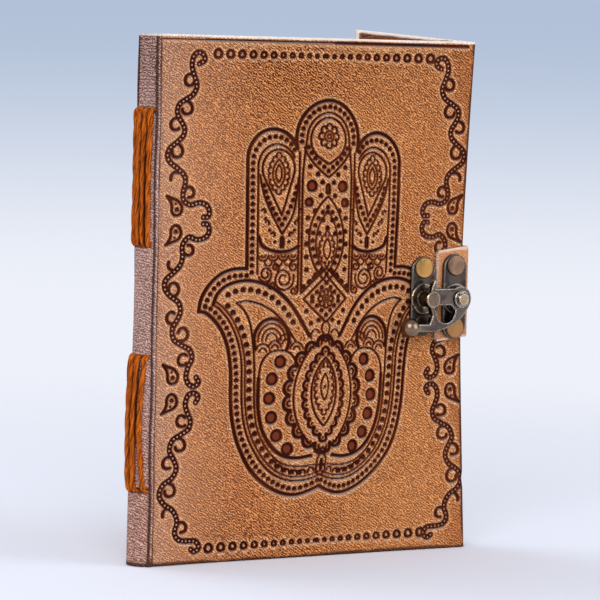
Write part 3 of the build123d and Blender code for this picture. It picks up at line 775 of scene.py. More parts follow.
# At these two heights the hand's halves have these shares of their drawn width
HALF_Z, LEFT_HALF, RIGHT_HALF = (65, 120), (1.04, 1.02), (0.865, 0.905)
# How far the right half sinks, over which width, and the heights between which that begins
SINK, SINK_REACH, SINK_Z = 1.5, 30, (95, 130)


def press_map(u, z):
    """The distance to the nearest pressed line of the hand or of the border, anywhere on the cover."""
    middle = np.interp(z, SLIP_Z, SLIP_MIDDLE)
    width = np.where(u < middle, np.interp(z, HALF_Z, LEFT_HALF), np.interp(z, HALF_Z, RIGHT_HALF))
    sink = SINK * ((u - middle) / SINK_REACH).clip(0, 1) * np.interp(z, SINK_Z, (0, 1))
    return np.minimum(stamp.at(AXIS + (u - middle) / width, z + sink), border.at(u, z))


sample = press_map(*np.mgrid[5:120:0.5, 5:172:0.5])
print("pressed share of the cover", round(float((sample < 0).mean()), 3))

# %% [markdown]
# ## Leather
# The leather looks vegetable-tanned: a pebbled grain with slanting wrinkles, uneven colour as if the dye
# was rubbed on by hand, dark stain in every groove and burnished edges. The grain is far too fine for
# geometry, so it is a bump: a noise gives the pebbles, and the bent bands of a Wave texture give the
# wrinkles. The grooves are real geometry.
#
# The stain comes first. It is read from the same distance maps as the grooves, which the mesh carries as
# attributes. It is worn redder in the middle of wide lines, so the eyes and the vines' bands are dark at
# their rims only. The leather just beside a line is lighter, partly rubbed wear and partly a painted
# highlight on the raised edge.

# %% Stain in the grooves
STAIN, OLD_STAIN = srgb(48, 10, 3), srgb(120, 52, 26)
STAIN_HALO, SOAKED = srgb(140, 62, 26), srgb(116, 46, 22)
# Beside the lines the leather is lighter: partly rubbed wear, partly a painted highlight
RUBBED_AND_HIGHLIGHT, BEAD_TAN = srgb(236, 178, 128), srgb(232, 198, 176)


def stained(wire, place, crevice, colour):
    """Stains the pressed lines; gives the new colour, the share of stain and the distance to a line."""
    gap, bead, vein = (attribute(wire, name) for name in ("press", "bead", "vein"))
    ragged = gap + (noise(place, 320, 3.0) - 0.5) * 0.25
    stain = ragged.ramp(0.08, -0.18)
    rubbed_and_highlight = gap.ramp(0.14, 0.34) * gap.ramp(1.3, 0.5)
    colour = (ragged.ramp(0.8, 0.0) * 0.45).blend(colour, STAIN_HALO)
    # Beside each line: rubbed wear and a painted highlight on the raised edge
    colour = (rubbed_and_highlight * crevice.ramp(0.1, 0.6, 0.2, 0.9)).blend(colour, RUBBED_AND_HIGHLIGHT)
    colour = (ragged.ramp(0.2, -0.04) * 0.7).blend(colour, SOAKED)
    ink = (ragged.ramp(-0.65, -1.15) * 0.8).blend(STAIN, OLD_STAIN)
    ink = (vein.ramp(-0.3, -0.65) * 0.75).blend(ink, OLD_STAIN)
    # The vine on the right is fainter below its top
    faint = place.part("X").ramp(0.102, 0.112) * place.part("Z").ramp(0.158, 0.128)
    strength = noise(place, 55, 3.0).ramp(0.3, 0.55, 0.8, 1.0) - faint * 0.08
    colour = (stain * strength).blend(colour, ink)
    colour = (bead.ramp(0.12, -0.2) * (0.75 - faint * 0.4)).blend(colour, BEAD_TAN)
    return colour, stain, gap


print("stain ready")

# %% [markdown]
# One function makes every leather of the diary. The hides differ in their tones, in whether they are
# pressed, and in a few shares: how deep the grain looks, how dark the head is, how warm the foot is and
# how pale the cut at the head is.

# %% Leather finish
PALE_CUT, BURNT, FOOT_TAN = srgb(250, 236, 226), srgb(56, 24, 14), srgb(184, 124, 94)
# A darker tint for the grain's crevices, and a bluish painted highlight for the strip by the crease
CREVICE_TINT, CREASE_PAINTED_LIGHT = (0.22, 0.13, 0.09, 1), (1.0, 1.32, 1.9, 1)
LEATHER_RELIEF = 0.00028


def leather_finish(
    name, tan, shade, glow, depth=0.9, edge=BURNT, pressed=False, top_shade=0.0, cut_head=0.0, warm_foot=0.0
):
    """Pebbled leather with dark rims and pale cut edges; pressed leather also has stained grooves."""
    finish, wire, place = new_finish(name)
    across, above = place.part("X"), place.part("Z")

    # Grain
    slanted = stretched(place, (0.0, -0.98, 0.0), (1.0, 1.0, 1.0))
    bands = {"Vector": slanted, "Scale": 370, "Distortion": 7.0, "Detail": 1.0, "Detail Scale": 1.7}
    wrinkle = wire.node("ShaderNodeTexWave", None, bands, output="Fac")
    pebble = noise(place, 2700, 0.0)
    crevice = (wrinkle * 0.28 + pebble * 0.72).ramp(0.43, 0.57)
    height = crevice
    roughness = crevice.ramp(0.0, 1.0, 0.7, 0.54)

    # Uneven dye, darker at the head, and light on top of the grain
    cloud = noise(place, 15, 3.0, 0.5).ramp(0.32, 0.68)
    blotch = noise(place, 48, 4.0, 0.8).ramp(0.4, 0.75)
    colour = cloud.blend(tan, glow)
    colour = (blotch * 0.48).blend(colour, shade)
    colour = (above.ramp(0.135, 0.176) * top_shade).blend(colour, shade)
    colour = (above.ramp(0.07, 0.01) * warm_foot).blend(colour, FOOT_TAN)
    colour = ((1 - crevice) * depth).blend(colour, CREVICE_TINT, "MULTIPLY")
    light = [min(1, c * 1.12) for c in glow]
    colour = (crevice.ramp(0.5, 1.0) * depth * 0.9).blend(colour, light)

    # Tones across a pressed cover, partly painted light, and its stain
    if pressed:
        # Painted sheen: lighter towards the right side
        colour = (across.ramp(0.06, 0.105) * 0.12).blend(colour, srgb(222, 152, 96))
        # Darker by the fore edge
        colour = (across.ramp(0.118, 0.129) * 0.3).blend(colour, shade)
        # Painted highlight: lighter and pinker towards the crease
        colour = (across.ramp(0.05, 0.004) * 0.3).blend(colour, srgb(210, 156, 126))
        # Painted highlight: a bluish light on the strip right by the crease
        colour = (across.ramp(0.019, 0.003) * 0.5).blend(colour, CREASE_PAINTED_LIGHT, "MULTIPLY")
        colour, stain, gap = stained(wire, place, crevice, colour)
        roughness = roughness + stain * 0.12
        height = height * (1 - stain * 0.7) + gap.ramp(-0.4, 0.5) * 1.6

    # Burnished rims, and the pale cut at the head
    burnt = (attribute(wire, "rim") + (blotch - 0.5) * 0.7).ramp(1.3, 0.35)
    colour = (burnt * 0.85).blend(colour, edge)
    facing_up = wire.node("ShaderNodeNewGeometry", output="Normal").part("Z").ramp(0.3, 0.65)
    head = COVER_H * MM - above + (blotch - 0.5) * 0.0003
    colour = (facing_up * head.ramp(0.0012, 0.0006, 0.3, 0.95)).blend(colour, PALE_CUT)
    colour = (head.ramp(0.0009, 0.0005) * cut_head).blend(colour, PALE_CUT)
    surface(wire, colour, roughness, height, LEATHER_RELIEF, gloss=0.07)
    return finish


cover_finish = leather_finish(
    "pressed_leather", srgb(193, 109, 58), srgb(134, 62, 28), srgb(212, 141, 85),
    pressed=True, top_shade=1.0, cut_head=0.9,
)
plain_finish = leather_finish("plain_leather", srgb(188, 112, 62), srgb(132, 68, 34), srgb(204, 138, 88))
# The turn-in flaps: their own reddish tone, darkened further with painted shade
shaded_flap_finish = leather_finish(
    "turn_in_leather_and_shade", srgb(118, 64, 42), srgb(74, 36, 24), srgb(132, 76, 52), edge=PALE_CUT
)
# The spine's light pinkish-grey tones are partly its own and partly a painted sheen from the sky; the
# creases share them
spine_and_sheen_finish = leather_finish(
    "spine_leather", srgb(198, 154, 142), srgb(134, 93, 82), srgb(210, 174, 164),
    depth=0.66, top_shade=0.95, cut_head=0.8, warm_foot=0.75,
)
strap_finish = leather_finish(
    "strap_leather", srgb(220, 148, 102), srgb(186, 110, 70), srgb(230, 170, 126),
    depth=0.35, edge=srgb(244, 214, 194),
)
cut_finish = leather_finish(
    "cut_leather", srgb(246, 222, 206), srgb(230, 196, 174), srgb(250, 232, 220), depth=0.3
)
print("leather finishes:", [m.name for m in bpy.data.materials if "leather" in m.name])

# %% [markdown]
# ## Covers
# A cover is a slab with soft rims. Two grids are bridged round their rims and the rim is bevelled. Only
# the outer grid of the front cover is then divided again, and only near the lines, so the grooves are
# sharp and the rest of the sheet stays light.

# %% Sheets of leather
CELL = 1.4
EDGE_R, EDGE_SHARE = 0.45, 0.4
SHARP_ANGLE = 50


def slab(low, high, near, far, cell=CELL):
    """A sheet in the X-Z plane between two corners, from depth near to depth far, with rounded rims."""
    bm = bmesh.new()
    size = np.subtract(high, low)
    middle = np.add(high, low) / 2
    for depth in (near, far):
        place = Matrix.Translation((middle[0], depth, middle[1])) @ Matrix.Rotation(pi / 2, 4, "X")
        place = place @ Matrix.Diagonal((size[0] / 2, size[1] / 2, 1, 1))
        bmesh.ops.create_grid(
            bm, x_segments=ceil(size[0] / cell), y_segments=ceil(size[1] / cell), size=1, matrix=place
        )
    rim = [edge for edge in bm.edges if edge.is_boundary]
    bmesh.ops.bridge_loops(bm, edges=rim)
    bmesh.ops.recalc_face_normals(bm, faces=bm.faces)
    bmesh.ops.bevel(
        bm, geom=rim, offset=min(EDGE_R, abs(far - near) * EDGE_SHARE), offset_type="OFFSET", segments=2,
        profile=0.5, affect="EDGES", material=-1,
    )
    return bm


def places(bm):
    """The places of all vertices, as an array in mm."""
    return np.array([vert.co for vert in bm.verts])


def move(bm, where):
    """Puts all vertices at new places."""
    for vert, place in zip(bm.verts, where):
        vert.co = place


def make_piece(name, bm, finishes, slot, **attributes):
    """Turns a bmesh in mm into an object in metres with its finishes and its vertex attributes."""
    bmesh.ops.scale(bm, vec=(MM, MM, MM), verts=bm.verts)
    mesh = bpy.data.meshes.new(name)
    bm.to_mesh(mesh)
    bm.free()
    mesh.shade_smooth()
    mesh.set_sharp_from_angle(angle=radians(SHARP_ANGLE))
    for finish in finishes if isinstance(finishes, tuple) else (finishes,):
        mesh.materials.append(finish)
    for key, values in attributes.items():
        values = np.asarray(values, np.float32)
        mesh.attributes.new(key, "FLOAT", "POINT").data.foreach_set("value", values)
    piece = bpy.data.objects.new(name, mesh)
    bpy.context.scene.collection.objects.link(piece)
    triangles = sum(len(face.vertices) - 2 for face in mesh.polygons)
    print(name, len(mesh.vertices), "vertices,", triangles, "triangles")
    return piece


def rim_distance(where, low, high):
    """How far each vertex is from the burnished edges of a sheet, in mm; the head is cut and left pale."""
    return np.min([where[:, 0] - low[0], high[0] - where[:, 0], where[:, 2] - low[1]], axis=0)


print("sheet tools ready")

# %% [markdown]
# ### Front cover
# The groove's depth follows the distance map. The sheet itself isn't flat: its fore-edge corners curl
# towards the reader, it waves a little, and it dips where the crease begins.

# %% Front cover
GROOVE_DEPTH = 0.6
# The share of that depth at some distances from the edge of a line
GROOVE_GAP, GROOVE_SHARE = (-0.45, -0.2, 0.1, 0.35, 0.7), (1, 0.85, 0.35, 0.1, 0)
# The grid is divided twice, within these distances of the lines
DIVIDE_NEAR = (1.2, 0.62)
FLAT_NORMAL = 0.99
CORNER_CURL, CURL_ACROSS, CURL_UP, CURL_LIMIT = 5.0, 2, 1.6, 1.1
CREASE_GAP = 0.8
COVER_START = CREASE_X + CREASE_GAP
WAVE, WAVE_START = 0.18, 20
DIP_REACH, DIP_DEPTH, DIP_INSIDE = (0.7, 2.4, 5.0), (0.5, 0.4, 0.0), 0.5


def curled(u, z):
    """How far the front cover's fore edge comes forward at a spot, in mm; its corners curl most."""
    outward = (u / COVER_W).clip(0, 1)
    upward = (abs(z - MID_Z) / MID_Z).clip(0, CURL_LIMIT)
    return CORNER_CURL * outward**CURL_ACROSS * upward**CURL_UP


def waved(u, z):
    """A slow wave in a sheet of leather, from two sines of unlike lengths."""
    return WAVE * (np.sin(u / 13 + z / 31) + np.sin(z / 17 - u / 29 + 1.0))


def crease_dip(u, outer):
    """How far a cover dips beside its crease: its outside goes in, and its inside comes out a little."""
    dip = np.interp(u, DIP_REACH, DIP_DEPTH)
    return np.where(outer, dip, -DIP_INSIDE * dip)


low, high = (COVER_START, 0.0), (FORE_X, COVER_H)
bm = slab(low, high, -OUTER_Y, -INNER_Y)
for margin in DIVIDE_NEAR:
    faces = [face for face in bm.faces if face.normal.y < -FLAT_NORMAL]
    centres = np.array([face.calc_center_median() for face in faces])
    gaps = press_map(centres[:, 0] - CREASE_X, centres[:, 2])
    near = {face for face, gap in zip(faces, gaps) if abs(gap) < margin}
    edges = [edge for edge in bm.edges if near.intersection(edge.link_faces)]
    bmesh.ops.subdivide_edges(bm, edges=edges, cuts=1, use_grid_fill=True)

where = places(bm)
u, z = where[:, 0] - CREASE_X, where[:, 2]
outer = where[:, 1] < -(OUTER_Y + INNER_Y) / 2
rim = rim_distance(where, (CREASE_X, low[1]), high)
gap = np.where(outer, press_map(u, z), Stamp.REACH)
bead = np.where(outer, border.at(u, z, border.raised), Stamp.REACH)
vein = np.where(outer, border.at(u, z), Stamp.REACH)
where[:, 1] += GROOVE_DEPTH * np.interp(gap, GROOVE_GAP, GROOVE_SHARE) + crease_dip(u, outer)
where[:, 1] += waved(u, z) * (u / WAVE_START).clip(0, 1) - curled(u, z)
move(bm, where)
front_cover = make_piece(
    "front_cover_leather", bm, cover_finish, "cover_leather", press=gap, bead=bead, vein=vein, rim=rim
)
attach(front_cover, "front_cover")
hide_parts("front_cover")

# %% [markdown]
# ### Back cover and turn-ins
# The back is plain. Inside each fore edge the leather is folded in as a thin flap. The front one is cut a
# little askew, so its free corner stands above the head, and it follows the cover's curl.

# %% Back cover and turn-ins
BACK_CELL, FLAP_CELL = 4.0, 1.2
BACK_WAVE, BACK_SHIFT = 0.6, 40
FLAP_RIM = 0.1

low, high = (COVER_START, 0.0), (FORE_X, COVER_H)
bm = slab(low, high, OUTER_Y, INNER_Y, cell=BACK_CELL)
where = places(bm)
u, z = where[:, 0] - CREASE_X, where[:, 2]
outer = where[:, 1] > (OUTER_Y + INNER_Y) / 2
rim = rim_distance(where, low, high)
where[:, 1] += waved(u + BACK_SHIFT, z) * (u / WAVE_START).clip(0, 1) * BACK_WAVE - crease_dip(u, outer)
move(bm, where)
back_cover = make_piece("back_cover_leather", bm, plain_finish, "cover_leather", rim=rim)
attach(back_cover, "back_cover")
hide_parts("back_cover")

for side, name in ((-1, "front"), (1, "back")):
    flap_low, flap_high = node_box(f"{name}_turn_in")
    near, far = (flap_low.y, flap_high.y) if side < 0 else (flap_high.y, flap_low.y)
    low, high = (flap_low.x, 0.0), (flap_high.x, COVER_H)
    bm = slab(low, high, near, far, cell=FLAP_CELL)
    where = places(bm)
    slant = max(0, flap_high.z - COVER_H) / (flap_high.x - flap_low.x)
    where[:, 2] += slant * (flap_high.x - where[:, 0])
    u, z = where[:, 0] - CREASE_X, where[:, 2]
    where[:, 1] -= curled(u, z) if side < 0 else 0
    move(bm, where)
    head = COVER_H + slant * (flap_high.x - where[:, 0])
    rim = np.minimum(head - where[:, 2], where[:, 0] - flap_low.x) + FLAP_RIM
    flap = make_piece(f"{name}_turn_in_flap", bm, shaded_flap_finish, "cover_leather", rim=rim)
    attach(flap, f"{name}_cover")
    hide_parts(f"{name}_turn_in")

# %% [markdown]
# ### Spine and creases
# The spine is bent from a grid: its columns become angles. Four slits let the sewing cords through.
# `bisect_plane` cuts clean edges there, before the faces between them are deleted.

# %% Spine
STATIONS = [MID_Z + offset for offset in (63.5, 18.7, -18.7, -63.5)]
SLIT_H, SLIT_REACH, SLIT_RIM, SLIT_END = 1.4, 5.2, 0.8, 0.3
SPINE_COLUMNS, SPINE_ROWS = 28, 90
SPINE_BULGE = (1.3, 0.0, -2.0)
SPINE_GAP, GROOVE_ANGLE = 0.5, 0.16
SPINE_WAVE, SPINE_WAVE_U = 0.7, 20
spine_end = atan2(CREASE_Y, SPINE_R - CREASE_X) - SPINE_GAP / SPINE_R


def spine_skin(angle, z):
    """The radius of the spine's outside: it bulges at the foot and dips beside the creases."""
    bulge = np.interp(z, (0, MID_Z, COVER_H), SPINE_BULGE) * np.cos(angle / spine_end * pi / 2)
    groove = GROOVE_DEPTH * ((abs(angle) - spine_end + GROOVE_ANGLE) / GROOVE_ANGLE).clip(0, 1)
    return SPINE_R + LEATHER_T / 2 + bulge - groove


def cut(bm, place, direction):
    """Cuts all faces along a plane."""
    geometry = bm.verts[:] + bm.edges[:] + bm.faces[:]
    bmesh.ops.bisect_plane(bm, geom=geometry, dist=1e-4, plane_co=place, plane_no=direction)


def in_slit(face):
    """Whether a face lies in one of the slits."""
    centre = face.calc_center_median()
    return abs(centre.y) < SLIT_REACH and min(abs(centre.z - station) for station in STATIONS) < SLIT_H / 2


bm = bmesh.new()
bmesh.ops.create_grid(bm, x_segments=SPINE_COLUMNS, y_segments=SPINE_ROWS, size=1)
where = places(bm)
angle, z = where[:, 0] * spine_end, (where[:, 1] + 1) * MID_Z
radius = spine_skin(angle, z) + waved(angle * SPINE_WAVE_U, z) * SPINE_WAVE
move(bm, np.column_stack([SPINE_R - radius * np.cos(angle), radius * np.sin(angle), z]))
for station in STATIONS:
    for edge_z in (station - SLIT_H / 2, station + SLIT_H / 2):
        cut(bm, (0, 0, edge_z), (0, 0, 1))
for edge_y in (-SLIT_REACH, SLIT_REACH):
    cut(bm, (0, edge_y, 0), (0, 1, 0))
bmesh.ops.delete(bm, geom=[face for face in bm.faces if in_slit(face)], context="FACES")
bmesh.ops.recalc_face_normals(bm, faces=bm.faces)
if sum(face.normal.x for face in bm.faces) > 0:
    bmesh.ops.reverse_faces(bm, faces=bm.faces)
bmesh.ops.solidify(bm, geom=bm.faces[:], thickness=LEATHER_T)
where = places(bm)
rim = where[:, 2]
slit_gap = np.min([abs(where[:, 2] - station) for station in STATIONS], axis=0) - SLIT_H / 2 + SLIT_RIM
rim = np.where(abs(where[:, 1]) < SLIT_REACH + SLIT_END, np.minimum(rim, slit_gap), rim)
spine = make_piece("spine_leather", bm, spine_and_sheen_finish, "cover_leather", rim=rim)
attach(spine, "spine")
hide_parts("spine")

# %% [markdown]
# The creases are pressed beads. Each lies on the axis that its cover turns about, so the cover can open
# without leaving a gap. A bead starts as a cylinder, and cuts at even heights give it the points to waver
# with.

# %% Creases
CREASE_R, CREASE_SIDES, CREASE_STEP = 0.88, 16, 3.0
RIM_MIDDLE, RIM_FALL = 1.7, 1.5
WAVER_X, WAVER_X_LENGTH = 0.12, 7
WAVER_Y, WAVER_Y_LENGTH = 0.08, 5
for side, name in ((-1, "front"), (1, "back")):
    bm = bmesh.new()
    middle = Matrix.Translation((CREASE_X, side * CREASE_Y, MID_Z))
    bmesh.ops.create_cone(
        bm, cap_ends=True, segments=CREASE_SIDES, radius1=CREASE_R, radius2=CREASE_R, depth=COVER_H,
        matrix=middle,
    )
    for height in np.arange(CREASE_STEP, COVER_H, CREASE_STEP):
        cut(bm, (0, 0, height), (0, 0, 1))
    where = places(bm)
    rim = np.minimum(where[:, 2], RIM_MIDDLE - RIM_FALL * abs(where[:, 0] - CREASE_X) / CREASE_R)
    where[:, 0] += WAVER_X * np.sin(where[:, 2] / WAVER_X_LENGTH + side)
    where[:, 1] += WAVER_Y * np.sin(where[:, 2] / WAVER_Y_LENGTH)
    move(bm, where)
    crease = make_piece(f"{name}_crease", bm, spine_and_sheen_finish, "cover_leather", rim=rim)
    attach(crease, "spine")

# %% [markdown]
# ## Paper
# Handmade paper is soft and uneven. One noise gives its cloudy pulp. A second one, drawn out long and cut
# off high, leaves a few darker fibres.

# %% Paper finish
paper_finish, wire, place = new_finish("handmade_paper")
pulp = noise(place, 90, 5.0, 0.5)
fibre = noise(stretched(place, (0.4, 0.3, 0.9), (1.0, 1.0, 7.0)), 420, 3.0, 1.2).ramp(0.6, 0.72)
colour = pulp.ramp(0.3, 0.7).blend(srgb(232, 220, 192), srgb(243, 235, 214))
colour = (fibre * 0.35).blend(colour, srgb(186, 160, 118))
surface(wire, colour, pulp.ramp(0.2, 0.8, 0.88, 0.78), pulp + fibre * 0.3, 0.0002, gloss=0.2)
print("paper finish ready")

# %% [markdown]
# A folded sheet is a grid whose columns run along one leaf, round the fold and back along the other leaf.
# Its free edges are torn, not cut, so a few waves of unlike length are added up along them.

# %% Folded sheets
LEAF_COLUMNS, FOLD_COLUMNS, LEAF_ROWS = 26, 8, 40
AT_EDGE = 0.001
TEAR = 0.7
# The waves of a torn edge: the rate of each, and its shift from sheet to sheet
FORE_WAVES, HEAD_WAVES = ((31, 2.1), (73, 4.7), (157, 1.0)), ((2.3, 1.7), (5.1, 3.1))


def torn(along, seed, waves):
    """How far a torn edge is off its line, in mm."""
    return TEAR * sum(np.sin(along * rate + seed * shift) for rate, shift in waves) / len(waves)


def folded_sheet(bm, fold_x, edge_x, front_y, back_y, foot, head, seed):
    """Adds one folded sheet: two leaves and the round fold between them."""
    columns = 2 * LEAF_COLUMNS + FOLD_COLUMNS
    made = bmesh.ops.create_grid(bm, x_segments=columns, y_segments=LEAF_ROWS, size=1)["verts"]
    grid = np.array([vert.co for vert in made])
    column, row = (grid[:, 0] + 1) / 2 * columns, (grid[:, 1] + 1) / 2
    fold_r = (back_y - front_y) / 2
    into = np.interp(column, [LEAF_COLUMNS, LEAF_COLUMNS + FOLD_COLUMNS], [0, pi])
    leaf = np.maximum(LEAF_COLUMNS - column, column - LEAF_COLUMNS - FOLD_COLUMNS).clip(0) / LEAF_COLUMNS
    length = edge_x - fold_x - fold_r - TEAR + torn(row, seed, FORE_WAVES) * (leaf > 1 - AT_EDGE)
    x = fold_x + fold_r - fold_r * np.sin(into) + leaf * length
    y = (front_y + back_y) / 2 - fold_r * np.cos(into)
    ragged = torn(column, seed, HEAD_WAVES)
    z = foot + TEAR + (head - foot - 2 * TEAR) * row
    z += np.where(row < AT_EDGE, ragged, 0) + np.where(row > 1 - AT_EDGE, -ragged, 0)
    for vert, place in zip(made, np.column_stack([x, y, z])):
        vert.co = place


print("a folded sheet has", (2 * LEAF_COLUMNS + FOLD_COLUMNS) * LEAF_ROWS, "faces")

# %% [markdown]
# Four sheets, one in the other, make a signature, and the diary has four of them. The folds are opened
# where the cords run, and then the paper gets its thickness.

# %% Signatures
SIGNATURES, SHEETS, TURNING = 4, 4, 2
PAPER_T = 0.17
# The fore edges of the sheets differ by steps of this length
UNEVEN_STEP = 0.4
GUTTER_BEND, HEAD_REACH = 3.5, 6
# Room for a cord and for its tail; the folds are open between these heights, and this deep
CORD_ROOM, TAIL_ROOM = 1.1, 9.1
CORD_SLITS = [
    (STATIONS[0] - CORD_ROOM, STATIONS[0] + TAIL_ROOM),
    (STATIONS[2] - CORD_ROOM, STATIONS[1] + CORD_ROOM),
    (STATIONS[3] - TAIL_ROOM, STATIONS[3] + CORD_ROOM),
]
CORD_SLIT_DEPTH = 3.0

for n in range(SIGNATURES):
    turns = n < TURNING
    nodes = [f"signature_{n + 1}_fold", f"signature_{n + 1}_leaves"] if turns else [f"signature_{n + 1}"]
    corners = [node_box(node) for node in nodes]
    low, high = corners[0][0], corners[-1][1]
    pitch = (high.y - low.y) / (2 * SHEETS)
    bm = bmesh.new()
    for sheet in range(SHEETS):
        inset = (sheet + 0.5) * pitch
        edge_x = high.x - UNEVEN_STEP * ((sheet * 7 + n * 3) % 5)
        seed = sheet + SHEETS * n
        folded_sheet(bm, low.x + inset, edge_x, low.y + inset, high.y - inset, low.z, high.z, seed)
    for slit_low, slit_high in CORD_SLITS:
        for edge_z in (slit_low, slit_high):
            cut(bm, (0, 0, edge_z), (0, 0, 1))
    slit_x = low.x + CORD_SLIT_DEPTH
    cut(bm, (slit_x, 0, 0), (1, 0, 0))
    opened = []
    for face in bm.faces:
        centre = face.calc_center_median()
        if centre.x < slit_x and any(slit_low < centre.z < slit_high for slit_low, slit_high in CORD_SLITS):
            opened.append(face)
    bmesh.ops.delete(bm, geom=opened, context="FACES")
    where = places(bm)
    flat_head = -np.interp(where[:, 2], (0, MID_Z, COVER_H), SPINE_BULGE).clip(None, 0)
    where[:, 0] += flat_head * ((low.x + HEAD_REACH - where[:, 0]) / HEAD_REACH).clip(0, 1)
    move(bm, where)
    bm.normal_update()
    bmesh.ops.solidify(bm, geom=bm.faces[:], thickness=PAPER_T)
    piece = make_piece(f"signature_{n + 1}_sheets", bm, paper_finish, "paper")
    if turns:
        gutter = joint_place(f"leaves_{n + 1}_turn")
        start = Vector((gutter.x - GUTTER_BEND, gutter.y, MID_Z)) * MM
        end = Vector((gutter.x + GUTTER_BEND, gutter.y, MID_Z)) * MM
        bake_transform(piece)
    else:
        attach(piece, "spine")
    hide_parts(*nodes)

# %% [markdown]
# ## Sewing cords
# The cords are waxed: orange, with fine strands along them. They lie side by side, and little light falls
# between them. Each vertex therefore carries its distance to the nearest other cord, and the finish
# darkens where that is short.

# %% Cord finish
cord_finish, wire, place = new_finish("waxed_cord")
strand = noise(stretched(place, (0.14, 0.1, 0.0), (1.0, 1.0, 9.0)), 1900, 2.0, 0.3)
fade = noise(place, 60, 2.0)
colour = strand.ramp(0.3, 0.7).blend(srgb(104, 40, 4), srgb(210, 106, 20))
colour = (fade.ramp(0.45, 0.8) * 0.6).blend(colour, srgb(142, 58, 8))
crowd = attribute(wire, "apart")
colour = (crowd.ramp(2.1, 1.3) * 0.92).blend(colour, srgb(52, 10, 0))
surface(wire, colour, strand.ramp(0.3, 0.7, 0.62, 0.48), strand, 0.00012, gloss=0.08)
print("cord finish ready")

# %% [markdown]
# One cord sews each signature to the spine: out of a slit, along the spine, in again, and the same once
# more. Its route is a list of points. At the slits the cords lie apart, and between them they lean
# together and stand off the leather a little.

# %% Routes of the cords
CORD_D = 2.0
# Where the cords lie across the spine at the four slits and half-way between them
SLIT_PLACES = (
    (-4.6, -1.8, 1.6, 4.4), (-4.5, -2.7, -0.3, 3.2), (-4.4, -2.1, 0.8, 3.8), (-4.6, -1.6, 1.2, 3.9)
)
BETWEEN_PLACES = ((-4.4, -2.5, -0.2, 2.4), (-3.2, -1.6, 0.6, 2.6))
# How far each cord stands off the spine half-way along its two runs
BOWS = ((0.3, 0.5), (0.6, 0.9), (0.9, 1.1), (0.5, 0.7))
SLIT_SHIFT = 0.5
CORD_TAIL, CORD_TURN, CORD_BEND, CORD_SEAT, CORD_DEPTH = 8.0, 5.5, 2.2, -0.1, 1.9
# Near a slit a cord has gone this far along, towards its place half-way and off the spine
NEAR_RUN, NEAR_SHARE, NEAR_BOW = 4.5, 0.15, 0.25


def on_spine(y, z):
    """Where the middle of a cord lies when it rests on the spine."""
    angle = np.arcsin(y / SPINE_R)
    return SPINE_R - spine_skin(angle, z) * cos(angle) - CORD_D / 2 - CORD_SEAT


def cord_route(n, in_x, y):
    """The route of one cord, in mm: tail, out, in, out, in, tail. It splays at the slits."""
    route = [(in_x, y, STATIONS[0] + CORD_TAIL)]
    for part, (first, last) in enumerate(((0, 1), (2, 3))):
        between, bow = BETWEEN_PLACES[part][n], BOWS[n][part]
        for station, step in ((first, -1), (last, 1)):
            wide, z = SLIT_PLACES[station][n], STATIONS[station] - SLIT_SHIFT * step
            leaning = wide + (between - wide) * NEAR_SHARE
            near = [(in_x, y, STATIONS[station] - CORD_TURN * step)]
            near += [(in_x, wide, STATIONS[station] - CORD_BEND * step), (in_x, wide, STATIONS[station])]
            near += [(on_spine(wide, z), wide, z)]
            near += [(on_spine(leaning, z) - NEAR_BOW * bow, leaning, z + NEAR_RUN * step)]
            route += near if step < 0 else near[::-1]
            if step < 0:
                middle = (STATIONS[first] + STATIONS[last]) / 2
                route += [(on_spine(between, middle) - bow, between, middle)]
    return route + [(in_x, y, STATIONS[3] - CORD_TAIL)]


print("a route has", len(cord_route(0, 0.0, 0.0)), "points")

# %% [markdown]
# The line of a cord is a NURBS spline that follows the points of its route, and two plies are wound round
# that line. Each ply is a bevelled curve that becomes a mesh. All four lines are made first, because each
# cord has to know how near the others are.

# %% Cords
PLIES, PLY_R, PLY_OFFSET, LAY, LAY_SHIFT = 2, 0.76, 0.24, 17.0, 0.37
SPLINE_ORDER, SPLINE_STEPS, BEVEL_STEPS = 3, 24, 2
LINE_STEP = 0.5


def curve_mesh(points, bevel=0.0):
    """The mesh of a curve: its line if it has no bevel, else its tube."""
    data = bpy.data.curves.new("line", "CURVE")
    data.dimensions = "3D"
    data.bevel_depth, data.bevel_resolution, data.use_fill_caps = bevel, BEVEL_STEPS, True
    spline = data.splines.new("NURBS" if bevel == 0 else "POLY")
    spline.points.add(len(points) - 1)
    for knot, place in zip(spline.points, points):
        knot.co = (*place, 1)
    spline.order_u, spline.use_endpoint_u, spline.resolution_u = SPLINE_ORDER, True, SPLINE_STEPS
    holder = bpy.data.objects.new("line", data)
    bpy.context.scene.collection.objects.link(holder)
    bpy.context.view_layer.update()
    mesh = bpy.data.meshes.new_from_object(holder)
    bpy.data.objects.remove(holder)
    return mesh


def even(line, step):
    """The same line with evenly spaced points, and its length."""
    walked = np.concatenate([[0], np.cumsum(np.linalg.norm(np.diff(line, axis=0), axis=1))])
    stops = np.linspace(0, walked[-1], round(walked[-1] / step) + 1)
    return np.column_stack([np.interp(stops, walked, line[:, k]) for k in range(3)]), walked[-1]


lines = []
for n in range(SIGNATURES):
    low, high = node_box(f"signature_{n + 1}_fold" if n < TURNING else f"signature_{n + 1}")
    cord_y = (low.y + high.y) / 2
    in_x = low.x + CORD_DEPTH
    line_mesh = curve_mesh(cord_route(n, in_x, cord_y))
    lines.append(even(np.array([vert.co for vert in line_mesh.vertices]), LINE_STEP))

